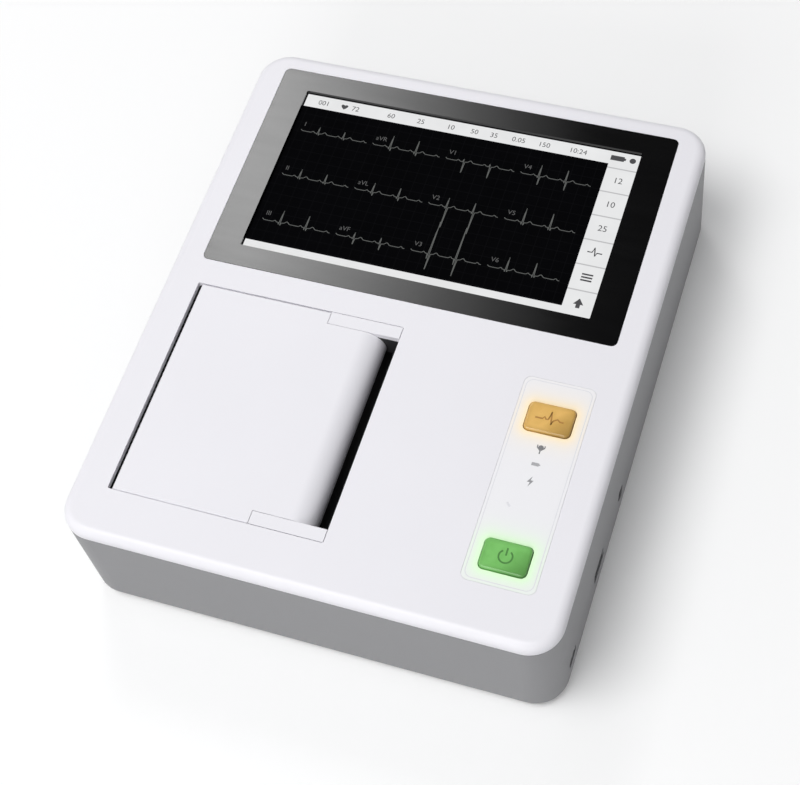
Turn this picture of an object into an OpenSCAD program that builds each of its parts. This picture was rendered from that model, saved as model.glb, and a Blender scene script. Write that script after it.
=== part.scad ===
/* [Housing] */
// Margin beside the display frame
side_margin = 12.45; // [10:0.05:16]
// Margin behind the display frame
rear_margin = 8.9; // [8:0.1:14]
// Margin between the display frame and the recorder opening
middle_margin = 12.25; // [11:0.05:18]
// Margin in front of the recorder opening
front_margin = 21.55; // [20:0.05:28]
// Plan radius of the housing corners
corner_r = 14; // [10:0.5:18]
// Wall of the moulded shells
wall = 2.5; // [2:0.1:3]
// Visible depth of the top cover's skirt
skirt_h = 5; // [4.6:0.1:7]
// Edge round of the top cover
cover_round = 4; // [2.5:0.25:4.25]
// Edge round of the base
base_round = 3; // [1.5:0.25:4]
// Gap of the seam between the shells
seam = 0.4; // [0.2:0.05:0.8]
// Height of the rubber feet below the base
foot_h = 2.5; // [2:0.1:4]
// Diameter of a rubber foot
foot_d = 14; // [10:0.5:18]

/* [Display] */
// Width of the black display frame
panel_w = 182.3; // [176:0.1:186]
// Depth of the black display frame
panel_d = 107.5; // [100:0.1:110]
// Corner radius of the display frame
panel_r = 2.5; // [1.5:0.1:4]
// Thickness of the display frame
panel_t = 1.8; // [1.4:0.1:2]
// Width of the lit area
active_w = 154.2; // [150:0.1:156]
// Depth of the lit area
active_d = 85.9; // [80:0.1:88]
// Thickness of the touch panel
touch_t = 1.1; // [0.8:0.1:1.4]
// Thickness of the display module
lcd_t = 5; // [4:0.5:6]

/* [Recorder] */
// Width of the chart paper
paper_w = 80; // [78:0.5:82]
// Diameter of a full paper roll
roll_d = 46; // [38:0.5:46]
// Diameter of the roll's core
core_d = 17; // [15:0.5:20]
// Diameter of the spindle's end journals
journal_d = 6; // [5:0.5:8]
// Distance from the left side to the recorder opening
door_inset = 15.6; // [13:0.1:16.5]
// Width of the recorder opening beyond the roll's diameter
opening_extra = 46.6; // [46:0.1:49]
// Room beside the paper for the door's arms and the gears
drive_room = 10.7; // [10.6:0.1:13]
// Room over a full roll
roll_room = 3.9; // [3.5:0.1:6]
// Seam round the recorder door
door_gap = 0.4; // [0.3:0.05:0.6]
// Width of the paper exit slot
exit_gap = 1.8; // [1.4:0.1:2.2]
// Thickness of the door
door_t = 2.5; // [2:0.1:2.8]
// Radius of the door's rolled hinge edge
barrel_r = 9; // [8.5:0.25:9.5]
// Slot between the rolled edge and the cover
hinge_gap = 6.85; // [6:0.05:7.5]
// Radius of the hinge pins
hinge_pin_r = 1.5; // [1.2:0.1:1.8]
// Radius of the platen's rubber
platen_r = 5.5; // [5:0.1:5.8]
// Radius of the platen's shaft
platen_shaft_r = 2.5; // [2:0.1:2.8]

/* [Gears] */
// Gear module
gear_m = 0.6; // [0.56:0.01:0.62]
// Teeth of the platen gear
platen_teeth = 18; // [17:1:18]
// Teeth of the idler
idler_teeth = 32; // [30:1:34]
// Teeth of the motor pinion
pinion_teeth = 12; // [12:1:13]
// Width of the gears
gear_w = 3; // [2.5:0.1:3.1]
// Diameter of the stepper motor
motor_d = 25; // [22:0.5:26]

/* [Keys] */
// Width of a key
key_w = 19; // [17:0.5:21]
// Depth of a key
key_d = 13; // [11:0.5:15]
// Travel of a key
key_travel = 0.8; // [0.5:0.1:1]
// Height of a key above the cover
key_proud = 1.2; // [1.1:0.1:1.6]
// Distance from the right side to the keys' middle
key_inset = 29; // [27:0.25:31]
// Distance from the front to the power key
power_front = 34.2; // [32:0.2:37]
// Distance from the power key to the print key
key_pitch = 61.8; // [58:0.2:64]

/* [Hidden] */
$fn = 64;

// the housing follows what it holds
tray_t = 2;
under_tray = 0.6;
roll_gap = 2;
opening_w = roll_d + opening_extra;
opening_l = paper_w + 2 * drive_room;
case_w = panel_w + 2 * side_margin;
case_d = rear_margin + panel_d + middle_margin + opening_l + front_margin;
case_h = foot_h + wall + under_tray + tray_t + roll_gap + roll_d + roll_room + door_t;

// levels
top_z = case_h;
cover_z = top_z - skirt_h;
ceiling = top_z - wall;
base_top = cover_z - seam;
floor_z = foot_h + wall;
fit = 0.15;
run = 0.05;
inner_x = case_w / 2 - wall;
inner_y = case_d / 2 - wall;

// display
panel_y = case_d / 2 - rear_margin - panel_d / 2;
bezel_floor = top_z - panel_t;
lcd_w = active_w + 9;
lcd_d = active_d + 11;
lcd_top = bezel_floor - touch_t;
lcd_z = lcd_top - lcd_t;
bracket_t = 1;

// recorder opening, seen from above
open_x0 = -case_w / 2 + door_inset;
open_x1 = open_x0 + opening_w;
half_open = opening_l / 2;
paper_y = -case_d / 2 + front_margin + half_open;
half_door = half_open - door_gap;
hinge_x = open_x1 - hinge_gap - barrel_r;
hinge_z = top_z - barrel_r;
half_barrel = half_door - 5.7;
door_x0 = open_x0 + exit_gap;

// paper path
web_t = 0.2;
web_gap = 0.3;
platen_x = open_x0 + exit_gap / 2 + 0.2 + platen_r;
platen_z = top_z - door_t - 9;
half_rubber = paper_w / 2 + 1;
web_d = platen_r + web_gap + web_t / 2;
head_d = web_d + web_t / 2 + web_gap;
roll_r = roll_d / 2;
roll_z = floor_z + under_tray + tray_t + roll_gap + roll_r;
web_clear = 0.5;
roll_x = platen_x + platen_z - roll_z + sqrt(2) * (roll_r + web_t / 2 + web_clear - web_d);
trough_r = roll_r + roll_gap;

// rows of the printing mechanism, outward from the paper's middle
bracket_in = half_rubber + 0.6;
bracket_out = bracket_in + 1.8;
cheek_in = bracket_out + 0.5;
cheek_out = cheek_in + 1.2;
gear_in = cheek_out + 1.2;
bushing_r = platen_shaft_r + 1;

// gear train
platen_pitch = gear_m * platen_teeth / 2;
idler_pitch = gear_m * idler_teeth / 2;
pinion_pitch = gear_m * pinion_teeth / 2;
mesh_gap = 0.12;
idler_x = platen_x;
idler_z = platen_z - platen_pitch - idler_pitch - mesh_gap;
pinion_angle = -38;
pinion_reach = idler_pitch + pinion_pitch + mesh_gap;
motor_x = idler_x + pinion_reach * cos(pinion_angle);
motor_z = idler_z + pinion_reach * sin(pinion_angle);
idler_pin_r = 2;
motor_shaft_r = 1;

// paper tray
tray_x0 = -inner_x + 4.1;
tray_floor = floor_z + under_tray + tray_t;
tray_out = half_open + tray_t;
bay_cut = 26.2;
bay_x = tray_x0 + bay_cut;
bay_z = tray_floor + bay_cut;
bay_d = (platen_x + platen_z - bay_x - tray_floor) / sqrt(2);
ear_gap = 0.2;
peg_r = 1.2;
peg_h = 2.5;
ear_in = half_barrel + ear_gap;
ear_r = norm([open_x1 - hinge_x, barrel_r]);

// keys
key_x = case_w / 2 - key_inset;
power_y = -case_d / 2 + power_front;
print_y = power_y + key_pitch;
key_gap = 0.35;
key_r = 2.2;
flange = 1;
flange_t = 1;
overlay_t = 0.4;
overlay_w = 29.6;
overlay_d = key_pitch + 30;
overlay_y = (power_y + print_y) / 2 + 2.6;
overlay_r = 3;
lamp_y = [print_y - 12.6, print_y - 20.4, print_y - 28.1];
lamp_r = 1.1;
board_t = 1.6;
key_board_z = ceiling - 7.5;

// battery bay in the underside, left of the sockets
io_w = 15;
io_x = inner_x - 1.5 - io_w / 2;
bay_x0 = open_x1 + tray_t + 8;
bay_x1 = io_x - io_w / 2 - 4;
bay_w = bay_x1 - bay_x0;
bay_l = opening_l - 41.4;
bay_cx = (bay_x0 + bay_x1) / 2;
bay_cy = paper_y - 14.25;
bay_h = 24;
bay_wall = 2;
pack_w = bay_w - 4;
pack_l = bay_l - 4;
pack_h = bay_h - 5;
door_lip = 2;
door_plate_t = 1.8;

// rear electronics
board_z = floor_z + 8;
main_w = case_w / 2 - 11.6;
main_l = panel_d - 15.5;
main_x = case_w / 2 - 10 - main_w / 2;
main_y = case_d / 2 - 16 - main_l / 2;
psu_w = case_w / 2 - 25.6;
psu_l = panel_d - 51.5;
psu_x = -case_w / 2 + 13 + psu_w / 2;
psu_y = case_d / 2 - 32 - psu_l / 2;
ecg_w = psu_w - 2;
ecg_l = 28;
ecg_x = psu_x;
ecg_y = psu_y - psu_l / 2 - ecg_l / 2 - 4;

// sockets in the walls
port_z = floor_z + 11;
io_top = port_z - 3.2;
usb_y = -case_d / 2 + 60;
device_y = -case_d / 2 + 20;
jack_y = -case_d / 2 + 94;
usb_w = 13.2;
usb_h = 6.4;
device_w = 8;
device_h = 4.2;
jack_r = 3.2;
patient_y = ecg_y + 6;
patient_z = floor_z + 16;
jackscrew_pitch = 33.3;
inlet_w = 27.2;
inlet_h = 19.8;
inlet_l = 20;
inlet_x = -case_w / 2 + 40;
inlet_z = floor_z + 17;
ground_x = -case_w / 2 + 84;
ground_z = port_z + 8;
ground_r = 3;
well_r = 8;
well_depth = 14;
cup_t = 1.2;
rear_x = [inlet_x - inlet_w / 2 - 7, ground_x + well_r + 7];
rear_z = [floor_z + 3.5, ground_z + well_r + 6];

// fixings
screw_r = 1.4;
screw_fit = 0.06;
post_r = 4;
boss_h = 6;
sink_r = 3.2;
sink_h = 6;
screw_inset = 9.5;
screw_x = case_w / 2 - screw_inset;
screw_y = case_d / 2 - screw_inset;
corner_spots = [for (sx = [-1, 1], sy = [-1, 1]) [sx * screw_x, sy * screw_y]];
case_spots = concat(corner_spots, [[open_x1 + tray_t + 5.5, -screw_y], [screw_x, -2]]);
foot_spots = [for (sx = [-1, 1], sy = [-1, 1]) [sx * (case_w / 2 - 26), sy * (case_d / 2 - 16)]];
foot_sunk = 1;
lcd_spots = [for (sx = [-1, 1], sy = [-1, 1]) [sx * (lcd_w / 2 + 5), panel_y + sy * 30]];
key_spots = [for (sx = [-1, 1], sy = [-1, 1])
    [key_x + sx * (overlay_w / 2 + 1), overlay_y + sy * (overlay_d / 2 - 6)]];
tray_spots = [for (x = [tray_x0 + 3.5, open_x1 - 4], s = [-1, 1]) [x, paper_y + s * (tray_out + 3)]];
tray_foot_z = hinge_z - barrel_r - tray_t - 2;
main_spots = [for (sx = [-1, 1], sy = [-1, 1])
    [main_x + sx * (main_w / 2 - 4), main_y + sy * (main_l / 2 - 4)]];
psu_spots = [for (sx = [-1, 1], sy = [-1, 1])
    [psu_x + sx * (psu_w / 2 - 4), psu_y + sy * (psu_l / 2 - 4)]];
ecg_spots = [for (sx = [-1, 1], sy = [-1, 1])
    [ecg_x + sx * (ecg_w / 2 - 4), ecg_y + sy * (ecg_l / 2 - 4)]];
io_spots = [for (y = [jack_y - 14, device_y + 14]) [io_x - 4, y]];
battery_screw_x = [bay_cx - bay_w / 4, bay_cx + bay_w / 4];
battery_screw_y = bay_cy + bay_l / 2 + 4.5;
speaker_r = 10;
speaker_x = bay_cx - 18;
speaker_y = -case_d / 2 + 14.5;

// ---- shared shapes ----

// rounded rectangle
module plan(w, d, r) {
    square([w - 2 * r, d], center = true);
    square([w, d - 2 * r], center = true);
    for (sx = [-1, 1], sy = [-1, 1])
        translate([sx * (w / 2 - r), sy * (d / 2 - r)]) circle(r);
}

module quarter(f) {
    intersection() {
        circle(f);
        square(f);
    }
}

// slab with rounded corners in plan and a rounded top edge
module soft_slab(w, d, h, r, f) {
    linear_extrude(h - f) plan(w, d, r);
    translate([0, 0, h - f]) linear_extrude(f) plan(w - 2 * f, d - 2 * f, r - f);
    for (turn = [0, 180]) rotate(turn) {
        translate([w / 2 - f, d / 2 - r, h - f]) rotate([90, 0, 0])
            linear_extrude(d - 2 * r) quarter(f);
        translate([-(w / 2 - r), d / 2 - f, h - f]) rotate([90, 0, 90])
            linear_extrude(w - 2 * r) quarter(f);
    }
    for (i = [0:3]) {
        sx = (i == 0 || i == 3) ? 1 : -1;
        sy = (i < 2) ? 1 : -1;
        translate([sx * (w / 2 - r), sy * (d / 2 - r), h - f]) rotate(90 * i)
            rotate_extrude(angle = 90) {
                square([r - f, f]);
                translate([r - f, 0]) quarter(f);
            }
    }
}

// plate with rounded corners
module plate(w, d, h, r) {
    linear_extrude(h) plan(w, d, r);
}

// shape drawn in the XZ plane, from y = a to y = b
module across(a, b) {
    translate([0, b, 0]) rotate([90, 0, 0]) linear_extrude(b - a) children();
}

// the same shape on both sides of the paper's middle
module both(a, b) {
    across(paper_y + a, paper_y + b) children();
    across(paper_y - b, paper_y - a) children();
}

// rod along Y between two distances from the paper's middle
module rod(x, z, r, a, b) {
    translate([x, paper_y + a, z]) rotate([-90, 0, 0]) cylinder(r = r, h = b - a);
}

// pan head screw pointing up, its head's underside at z = 0
module screw(r, h, head_r, head_h) {
    cylinder(r = r, h = h);
    translate([0, 0, -head_h]) difference() {
        cylinder(r = head_r, h = head_h);
        translate([0, 0, -1]) cylinder(r = head_r * 0.5, h = 1 + head_h * 0.5, $fn = 6);
    }
}

// involute gear outline with thinned flanks
function involute(rb, t) = [rb * (cos(t) + t * PI / 180 * sin(t)), rb * (sin(t) - t * PI / 180 * cos(t))];
function roll_angle(rb, r) = sqrt(max(0, r * r / (rb * rb) - 1)) * 180 / PI;
function turned(p, a) = [p[0] * cos(a) - p[1] * sin(a), p[0] * sin(a) + p[1] * cos(a)];
module gear_outline(teeth) {
    pitch = gear_m * teeth / 2;
    base = pitch * cos(20);
    tip = pitch + 0.9 * gear_m;
    root = pitch - 1.2 * gear_m;
    start = max(base, root);
    t0 = roll_angle(base, pitch);
    at_pitch = atan2(involute(base, t0)[1], involute(base, t0)[0]);
    half = 90 / teeth + at_pitch - 0.08 / pitch * 180 / PI;
    flank = [for (i = [0:3]) involute(base, roll_angle(base, start + (tip - start) * i / 3))];
    points = [for (k = [0:teeth - 1]) let (c = 360 / teeth * k) each concat(
        [root * [cos(c - half * 1.06), sin(c - half * 1.06)]],
        [for (p = flank) turned(p, c - half)],
        [for (i = [3:-1:0]) turned([flank[i][0], -flank[i][1]], c + half)],
        [root * [cos(c + half * 1.06), sin(c + half * 1.06)]]
    )];
    polygon(points);
}

// point on the print head's slope: u up the slope from the nip, d away from the platen's axis
function slope(u, d) = [platen_x - (d + u) / sqrt(2), platen_z - (d - u) / sqrt(2)];
module on_slope(u0, u1, d0, d1) {
    polygon([slope(u0, d0), slope(u1, d0), slope(u1, d1), slope(u0, d1)]);
}

// screws from below: heads under z, shanks going up
module screws(spots, z, r, h, head_r, head_h) {
    for (p = spots) translate([p[0], p[1], z]) screw(r, h, head_r, head_h);
}

// standoffs with a pilot hole in the top
module posts(spots, z0, z1, r, hole) {
    for (p = spots) translate([p[0], p[1], z0]) difference() {
        cylinder(r = r, h = z1 - z0);
        translate([0, 0, 1]) cylinder(r = hole, h = z1 - z0);
    }
}

// ---- housing ----

module base_shell() {
    difference() {
        translate([0, 0, base_top]) mirror([0, 0, 1])
            soft_slab(case_w, case_d, base_top - foot_h, corner_r, base_round);
        translate([0, 0, floor_z])
            plate(2 * inner_x, 2 * inner_y, case_h, corner_r - wall);
    }
    // tongue that locates the top cover
    difference() {
        translate([0, 0, cover_z - 4])
            plate(2 * (inner_x - fit), 2 * (inner_y - fit), 5.4, corner_r - wall - fit);
        translate([0, 0, cover_z - 5])
            plate(2 * (inner_x - 1.3), 2 * (inner_y - 1.3), 8, corner_r - wall - 1.3);
    }
    difference() {
        translate([0, 0, cover_z - 4]) plate(2 * inner_x + 0.2, 2 * inner_y + 0.2, 3, corner_r - wall);
        translate([0, 0, cover_z - 5]) plate(2 * inner_x - 2.6, 2 * inner_y - 2.6, 8, corner_r - wall - 1.3);
    }
}

module bottom_case() color("#8f9093") difference() {
    union() {
        base_shell();
        for (p = case_spots) translate([p[0], p[1], foot_h + 1])
            cylinder(r = post_r, h = ceiling - boss_h - foot_h - 1);
        // ring round the speaker
        translate([speaker_x, speaker_y, floor_z - 1]) difference() {
            cylinder(r = speaker_r + 1.4, h = 4);
            translate([0, 0, -1]) cylinder(r = speaker_r + 0.2, h = 9);
        }
    }
    // mouth of the battery bay, with a rebate for its door
    translate([bay_cx, bay_cy, 0]) plate(bay_w, bay_l, floor_z + 1, 2);
    translate([bay_cx, bay_cy + 2.5, 0])
        plate(bay_w + 2 * door_lip, bay_l + 2 * door_lip + 9, foot_h + door_plate_t, 3);
    for (x = battery_screw_x) translate([x, battery_screw_y, 0]) cylinder(r = screw_r + 0.3, h = 12);
    // screw holes of the housing
    for (p = case_spots) translate([p[0], p[1], 0]) {
        cylinder(r = screw_r + 0.3, h = case_h);
        cylinder(r = sink_r, h = foot_h + sink_h);
    }
    for (p = foot_spots) translate([p[0], p[1], 0]) cylinder(r = foot_d / 2 + 0.1, h = foot_h + foot_sunk);
    // speaker slots and air slots
    for (i = [-2:2]) translate([speaker_x, speaker_y + i * 3.2, foot_h + 1])
        cube([2 * sqrt(64 - i * i * 10.24), 1.4, 9], center = true);
    for (i = [-4:4]) translate([psu_x + i * 7, psu_y, foot_h + 1]) cube([2.4, 34, 9], center = true);
    for (i = [-4:4]) translate([main_x + i * 7, main_y, foot_h + 1]) cube([2.4, 34, 9], center = true);
    // sockets in the right wall
    translate([inner_x, usb_y, port_z]) cube([3 * wall, usb_w + 0.6, usb_h + 0.6], center = true);
    translate([inner_x, device_y, io_top + device_h / 2])
        cube([3 * wall, device_w + 0.6, device_h + 0.6], center = true);
    translate([inner_x - wall, jack_y, port_z]) rotate([0, 90, 0]) cylinder(r = jack_r + 0.3, h = 3 * wall);
    // patient socket in the left wall
    translate([-inner_x, patient_y, patient_z]) cube([3 * wall, 41, 13.2], center = true);
    // cut-out for the rear panel
    rear_sheet(0.15, inner_y - 1, case_d / 2 + 1);
}

// upright sheet in the rear wall, grown by g and lying between two depths
module rear_sheet(g, y0, y1) translate([rear_x[0] - g, y0, rear_z[0] - g])
    cube([rear_x[1] - rear_x[0] + 2 * g, y1 - y0, rear_z[1] - rear_z[0] + 2 * g]);

// turned pillars on the floor that carry the boards and the tray
module standoffs() color("#c8a850") {
    posts(concat(main_spots, psu_spots, ecg_spots), floor_z, board_z, 3, screw_r);
    posts(tray_spots, floor_z, tray_foot_z, 2.6, screw_r);
    posts(io_spots, floor_z, io_top - board_t, 2.5, screw_r);
}

module battery_box() color("#8f9093") difference() {
    union() {
        translate([bay_cx, bay_cy, floor_z])
            plate(bay_w + 2 * bay_wall, bay_l + 2 * bay_wall, bay_h + bay_wall, 3);
        for (x = battery_screw_x) translate([x, battery_screw_y, floor_z]) cylinder(r = 3.2, h = 6.5);
    }
    translate([bay_cx, bay_cy, 0]) plate(bay_w, bay_l, floor_z + bay_h, 2);
    for (x = battery_screw_x) translate([x, battery_screw_y, 0]) cylinder(r = screw_r + screw_fit, h = 11);
}

module top_cover() color("#eeedf3") difference() {
    union() {
        difference() {
            translate([0, 0, cover_z]) soft_slab(case_w, case_d, skirt_h, corner_r, cover_round);
            translate([0, 0, cover_z - 1])
                plate(2 * inner_x, 2 * inner_y, skirt_h - wall + 1, corner_r - wall);
        }
        for (p = case_spots) translate([p[0], p[1], ceiling - boss_h])
            cylinder(r = post_r - 0.5, h = boss_h + 0.5);
        for (p = lcd_spots) translate([p[0], p[1], lcd_z]) cylinder(r = 2.6, h = ceiling - lcd_z + 0.5);
        for (p = key_spots) translate([p[0], p[1], key_board_z])
            cylinder(r = 2.4, h = ceiling - key_board_z + 0.5);
        // ribs across the plate between the display and the keys
        for (x = [open_x1 + 9, key_x - overlay_w / 2 - 9]) translate([x, overlay_y, ceiling - 1.5])
            cube([1.4, overlay_d - 6, 3.5], center = true);
        translate([open_x1 + 6, panel_y - panel_d / 2 - 4.5, ceiling - 3])
            cube([inner_x - open_x1 - 8, 1.4, 3.5]);
    }
    // pocket of the display frame and opening for the display
    translate([0, panel_y, bezel_floor]) plate(panel_w + 0.4, panel_d + 0.4, 9, panel_r + 0.2);
    translate([0, panel_y, 0]) plate(lcd_w + 0.6, lcd_d + 0.6, case_h, 1);
    // recorder opening, with a softened edge
    translate([(open_x0 + open_x1) / 2, paper_y, 0]) plate(opening_w, opening_l, 2 * case_h, 0.8);
    // keys, their overlay and the lamps
    for (y = [power_y, print_y]) translate([key_x, y, 0])
        plate(key_w + 2 * key_gap, key_d + 2 * key_gap, 2 * case_h, key_r + key_gap);
    translate([key_x, overlay_y, top_z - overlay_t]) plate(overlay_w + 0.2, overlay_d + 0.2, 5, overlay_r);
    for (y = lamp_y) translate([key_x, y, 0]) cylinder(r = lamp_r + 0.1, h = case_h);
    for (p = case_spots) translate([p[0], p[1], 0]) cylinder(r = screw_r + screw_fit, h = ceiling + 0.3);
    for (p = lcd_spots) translate([p[0], p[1], 0]) cylinder(r = 1 + screw_fit, h = ceiling);
    for (p = key_spots) translate([p[0], p[1], 0]) cylinder(r = 1 + screw_fit, h = ceiling);
}

module rubber_feet() color("#2a2a2c") for (p = foot_spots) translate([p[0], p[1], 0]) {
    cylinder(r1 = foot_d / 2 - 0.8, r2 = foot_d / 2, h = 0.8);
    translate([0, 0, 0.8]) cylinder(r = foot_d / 2, h = foot_h + foot_sunk - 0.8);
}

module case_screws() color("#b9bbc0")
    screws(case_spots, foot_h + sink_h, screw_r, ceiling - foot_h - sink_h - 0.4, 2.7, 1.9);

module battery_door() color("#8f9093") difference() {
    union() {
        translate([bay_cx, bay_cy + 2.5, foot_h])
            plate(bay_w + 2 * door_lip - 0.6, bay_l + 2 * door_lip + 8.4, door_plate_t, 2.7);
        for (s = [-1, 1]) translate([bay_cx + s * (bay_w / 2 - 2), bay_cy, foot_h + door_plate_t + 1])
            cube([1.5, bay_l - 12, 2], center = true);
    }
    for (i = [-3:3]) translate([bay_cx + i * 4, bay_cy - bay_l / 2 + 6, foot_h])
        cube([1.6, 9, 1], center = true);
    for (x = battery_screw_x) translate([x, battery_screw_y, 0]) {
        cylinder(r = screw_r + 0.2, h = 9);
        cylinder(r = 2.9, h = foot_h + 0.8);
    }
}

module battery_door_screws() color("#b9bbc0")
    screws([for (x = battery_screw_x) [x, battery_screw_y]], foot_h + 0.8, screw_r, 7.4, 2.6, 0.7);

// ---- display ----

module display_bezel() color("#121214") difference() {
    translate([0, panel_y, bezel_floor]) plate(panel_w, panel_d, panel_t, panel_r);
    translate([0, panel_y, 0]) plate(active_w + 0.8, active_d + 0.8, 2 * case_h, 0.6);
}

module touch_panel() color("#1c1c20", 0.9)
    translate([0, panel_y, lcd_top]) plate(lcd_w, lcd_d, touch_t, 0.8);

module lcd_module() color("#b7bcc2") translate([0, panel_y, lcd_z]) {
    plate(lcd_w, lcd_d, lcd_t, 0.8);
    // driver strip on the rear
    translate([-lcd_w / 4, -lcd_d / 2 + 14, -0.4]) cube([60, 12, 1], center = true);
}

module lcd_bracket() color("#c9ccd0") difference() {
    union() {
        translate([0, panel_y, lcd_z - bracket_t]) plate(lcd_w + 4, lcd_d - 8, bracket_t, 2);
        for (p = lcd_spots) translate([p[0], p[1], lcd_z - bracket_t]) plate(12, 12, bracket_t, 2);
    }
    for (s = [-1, 1]) translate([s * (lcd_w / 4 + 2), panel_y, 0])
        plate(lcd_w / 2 - 16, lcd_d - 34, case_h, 4);
    translate([-lcd_w / 4, panel_y - lcd_d / 2 + 14, 0]) plate(64, 14, case_h, 1);
    for (p = lcd_spots) translate([p[0], p[1], 0]) cylinder(r = 1.2, h = case_h);
}

module cover_screws() color("#d0d2d6") {
    screws(lcd_spots, lcd_z - bracket_t, 1, ceiling - lcd_z + bracket_t - 0.4, 2, 1.2);
    screws(key_spots, key_board_z - board_t, 1, ceiling - key_board_z + board_t - 0.4, 2, 1.2);
}

// ---- keys ----

module key_overlay() color("#f3f3f6") difference() {
    translate([key_x, overlay_y, top_z - overlay_t])
        plate(overlay_w, overlay_d, overlay_t, overlay_r - 0.1);
    for (y = [power_y, print_y]) translate([key_x, y, 0])
        plate(key_w + 2 * key_gap, key_d + 2 * key_gap, 2 * case_h, key_r + key_gap);
}

module key_cap(y) translate([key_x, y, 0]) {
    flange_z = ceiling - 0.3 - flange_t;
    dome_top = key_board_z + 2.6;
    translate([0, 0, flange_z]) plate(key_w, key_d, top_z + key_proud - flange_z - 0.8, key_r);
    translate([0, 0, top_z + key_proud - 0.9]) soft_slab(key_w, key_d, 0.9, key_r, 0.8);
    translate([0, 0, flange_z]) plate(key_w + 2 * flange, key_d + 2 * flange, flange_t, key_r + 0.6);
    translate([0, 0, dome_top + key_travel + fit])
        cylinder(r = 2.2, h = flange_z - dome_top - key_travel - fit + 0.5);
}

module print_key() color("#e6a64b") key_cap(print_y);
module power_key() color("#6fbf54") key_cap(power_y);

module key_domes() color("#d8d4cc") difference() {
    for (y = [power_y, print_y]) translate([key_x, y, key_board_z]) {
        plate(16, 12, 0.8, 2);
        cylinder(r1 = 4.6, r2 = 2.6, h = 2.6);
    }
    for (y = [power_y, print_y]) translate([key_x, y, key_board_z - 1])
        cylinder(r1 = 4.2, r2 = 1.6, h = 2.9);
}

module key_board() color("#2f6b46") difference() {
    union() {
        translate([key_x, overlay_y, key_board_z - board_t])
            plate(overlay_w + 8, overlay_d - 4, board_t, 2);
        for (y = lamp_y) translate([key_x, y, key_board_z + 0.4]) cube([3, 1.6, 0.8], center = true);
        translate([key_x, overlay_y - 12, key_board_z - board_t - 2]) cube([12, 5, 4.1], center = true);
    }
    for (p = key_spots) translate([p[0], p[1], 0]) cylinder(r = 1.2, h = case_h);
}

module light_pipes() color("#e9eef2", 0.6) for (y = lamp_y)
    translate([key_x, y, key_board_z + 1.1]) {
        cylinder(r = lamp_r, h = top_z - overlay_t - 0.1 - key_board_z - 1.1);
        cylinder(r = lamp_r + 0.9, h = ceiling - 0.2 - key_board_z - 1.1);
    }

// ---- recorder: tray and door ----

// hollow of the tray: trough for the roll, bay for the mechanism, bay for the rolled edge
module tray_space(grow) {
    high = 2 * case_h;
    translate([roll_x, roll_z]) circle(trough_r + grow);
    translate([roll_x - trough_r - grow, roll_z]) square([2 * (trough_r + grow), high]);
    polygon([
        [roll_x, tray_floor - grow], [bay_x - 0.41 * grow, tray_floor - grow],
        [tray_x0 - grow, bay_z - 0.41 * grow], [tray_x0 - grow, high], [roll_x, high]
    ]);
    translate([roll_x, hinge_z - barrel_r - 2 - grow]) square([open_x1 + grow - roll_x, high]);
}

// outline of an ear: its left face is swept about the hinge axis
module ear_outline(right, high) {
    intersection() {
        translate([hinge_x, hinge_z]) circle(ear_r);
        translate([hinge_x - 2 * barrel_r, hinge_z - 4])
            square([right - hinge_x + 2 * barrel_r, high - hinge_z + 4]);
    }
}

module paper_tray() color("#232326") difference() {
    union() {
        difference() {
            across(paper_y - tray_out, paper_y + tray_out) intersection() {
                tray_space(tray_t);
                translate([-case_w, 0]) square([2 * case_w, ceiling]);
            }
            across(paper_y - half_open, paper_y + half_open) tray_space(0);
        }
        // cheeks that carry the spindle
        both(half_rubber + 0.3, half_rubber + 2.3) intersection() {
            tray_space(0.5);
            translate([roll_x - 18, 0]) square([36, roll_z + 6]);
        }
        // ears that carry the hinge pins
        both(ear_in, half_open + 0.5) ear_outline(open_x1 + 0.5, ceiling);
        // feet on the base's posts
        for (x = [tray_spots[0][0], tray_spots[2][0]]) translate([x, paper_y, tray_foot_z]) difference() {
            plate(6, 2 * tray_out + 11.2, 2.2, 2);
            translate([-9, -half_open - 0.5, -1]) cube([18, opening_l + 1, 9]);
        }
    }
    // slots for the spindle's journals
    both(half_rubber, half_rubber + 2.6) {
        translate([roll_x, roll_z]) circle(journal_d / 2 + run);
        translate([roll_x - journal_d / 2 - run, roll_z]) square([journal_d + 2 * run, case_h]);
    }
    both(0, tray_out + 1) translate([hinge_x, hinge_z]) circle(hinge_pin_r + 0.02);
    ear_pegs(peg_r + 0.05, ceiling - peg_h - 0.3);
    // motor shaft and screw holes in the front wall
    across(paper_y - tray_out - 1, paper_y - half_open + 1) {
        translate([motor_x, motor_z]) circle(motor_shaft_r + 3);
        for (s = [-1, 1]) translate([motor_x + s * (motor_d / 2 + 3), motor_z]) circle(screw_r + screw_fit);
    }
    for (p = tray_spots) translate([p[0], p[1], 0]) cylinder(r = screw_r + 0.2, h = tray_foot_z + 5);
    for (s = [-1, 1]) at_slope(-10.2, bay_d, s * (cheek_in - 4)) cylinder(r = 1.06, h = 3.6, center = true);
}

// round pegs under the caps of the ears
module ear_pegs(r, z) for (s = [-1, 1])
    translate([open_x1 - peg_r - 1.5, paper_y + s * (ear_in + half_open) / 2, z])
        cylinder(r = r, h = ceiling - z + 0.5);

// caps of the ears, flush with the cover
module ear_caps() color("#eeedf3") union() {
    both(ear_in, half_open - 0.3) difference() {
        ear_outline(open_x1 - 0.3, top_z);
        translate([-case_w, 0]) square([2 * case_w, ceiling]);
    }
    ear_pegs(peg_r, ceiling - peg_h);
}

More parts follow.
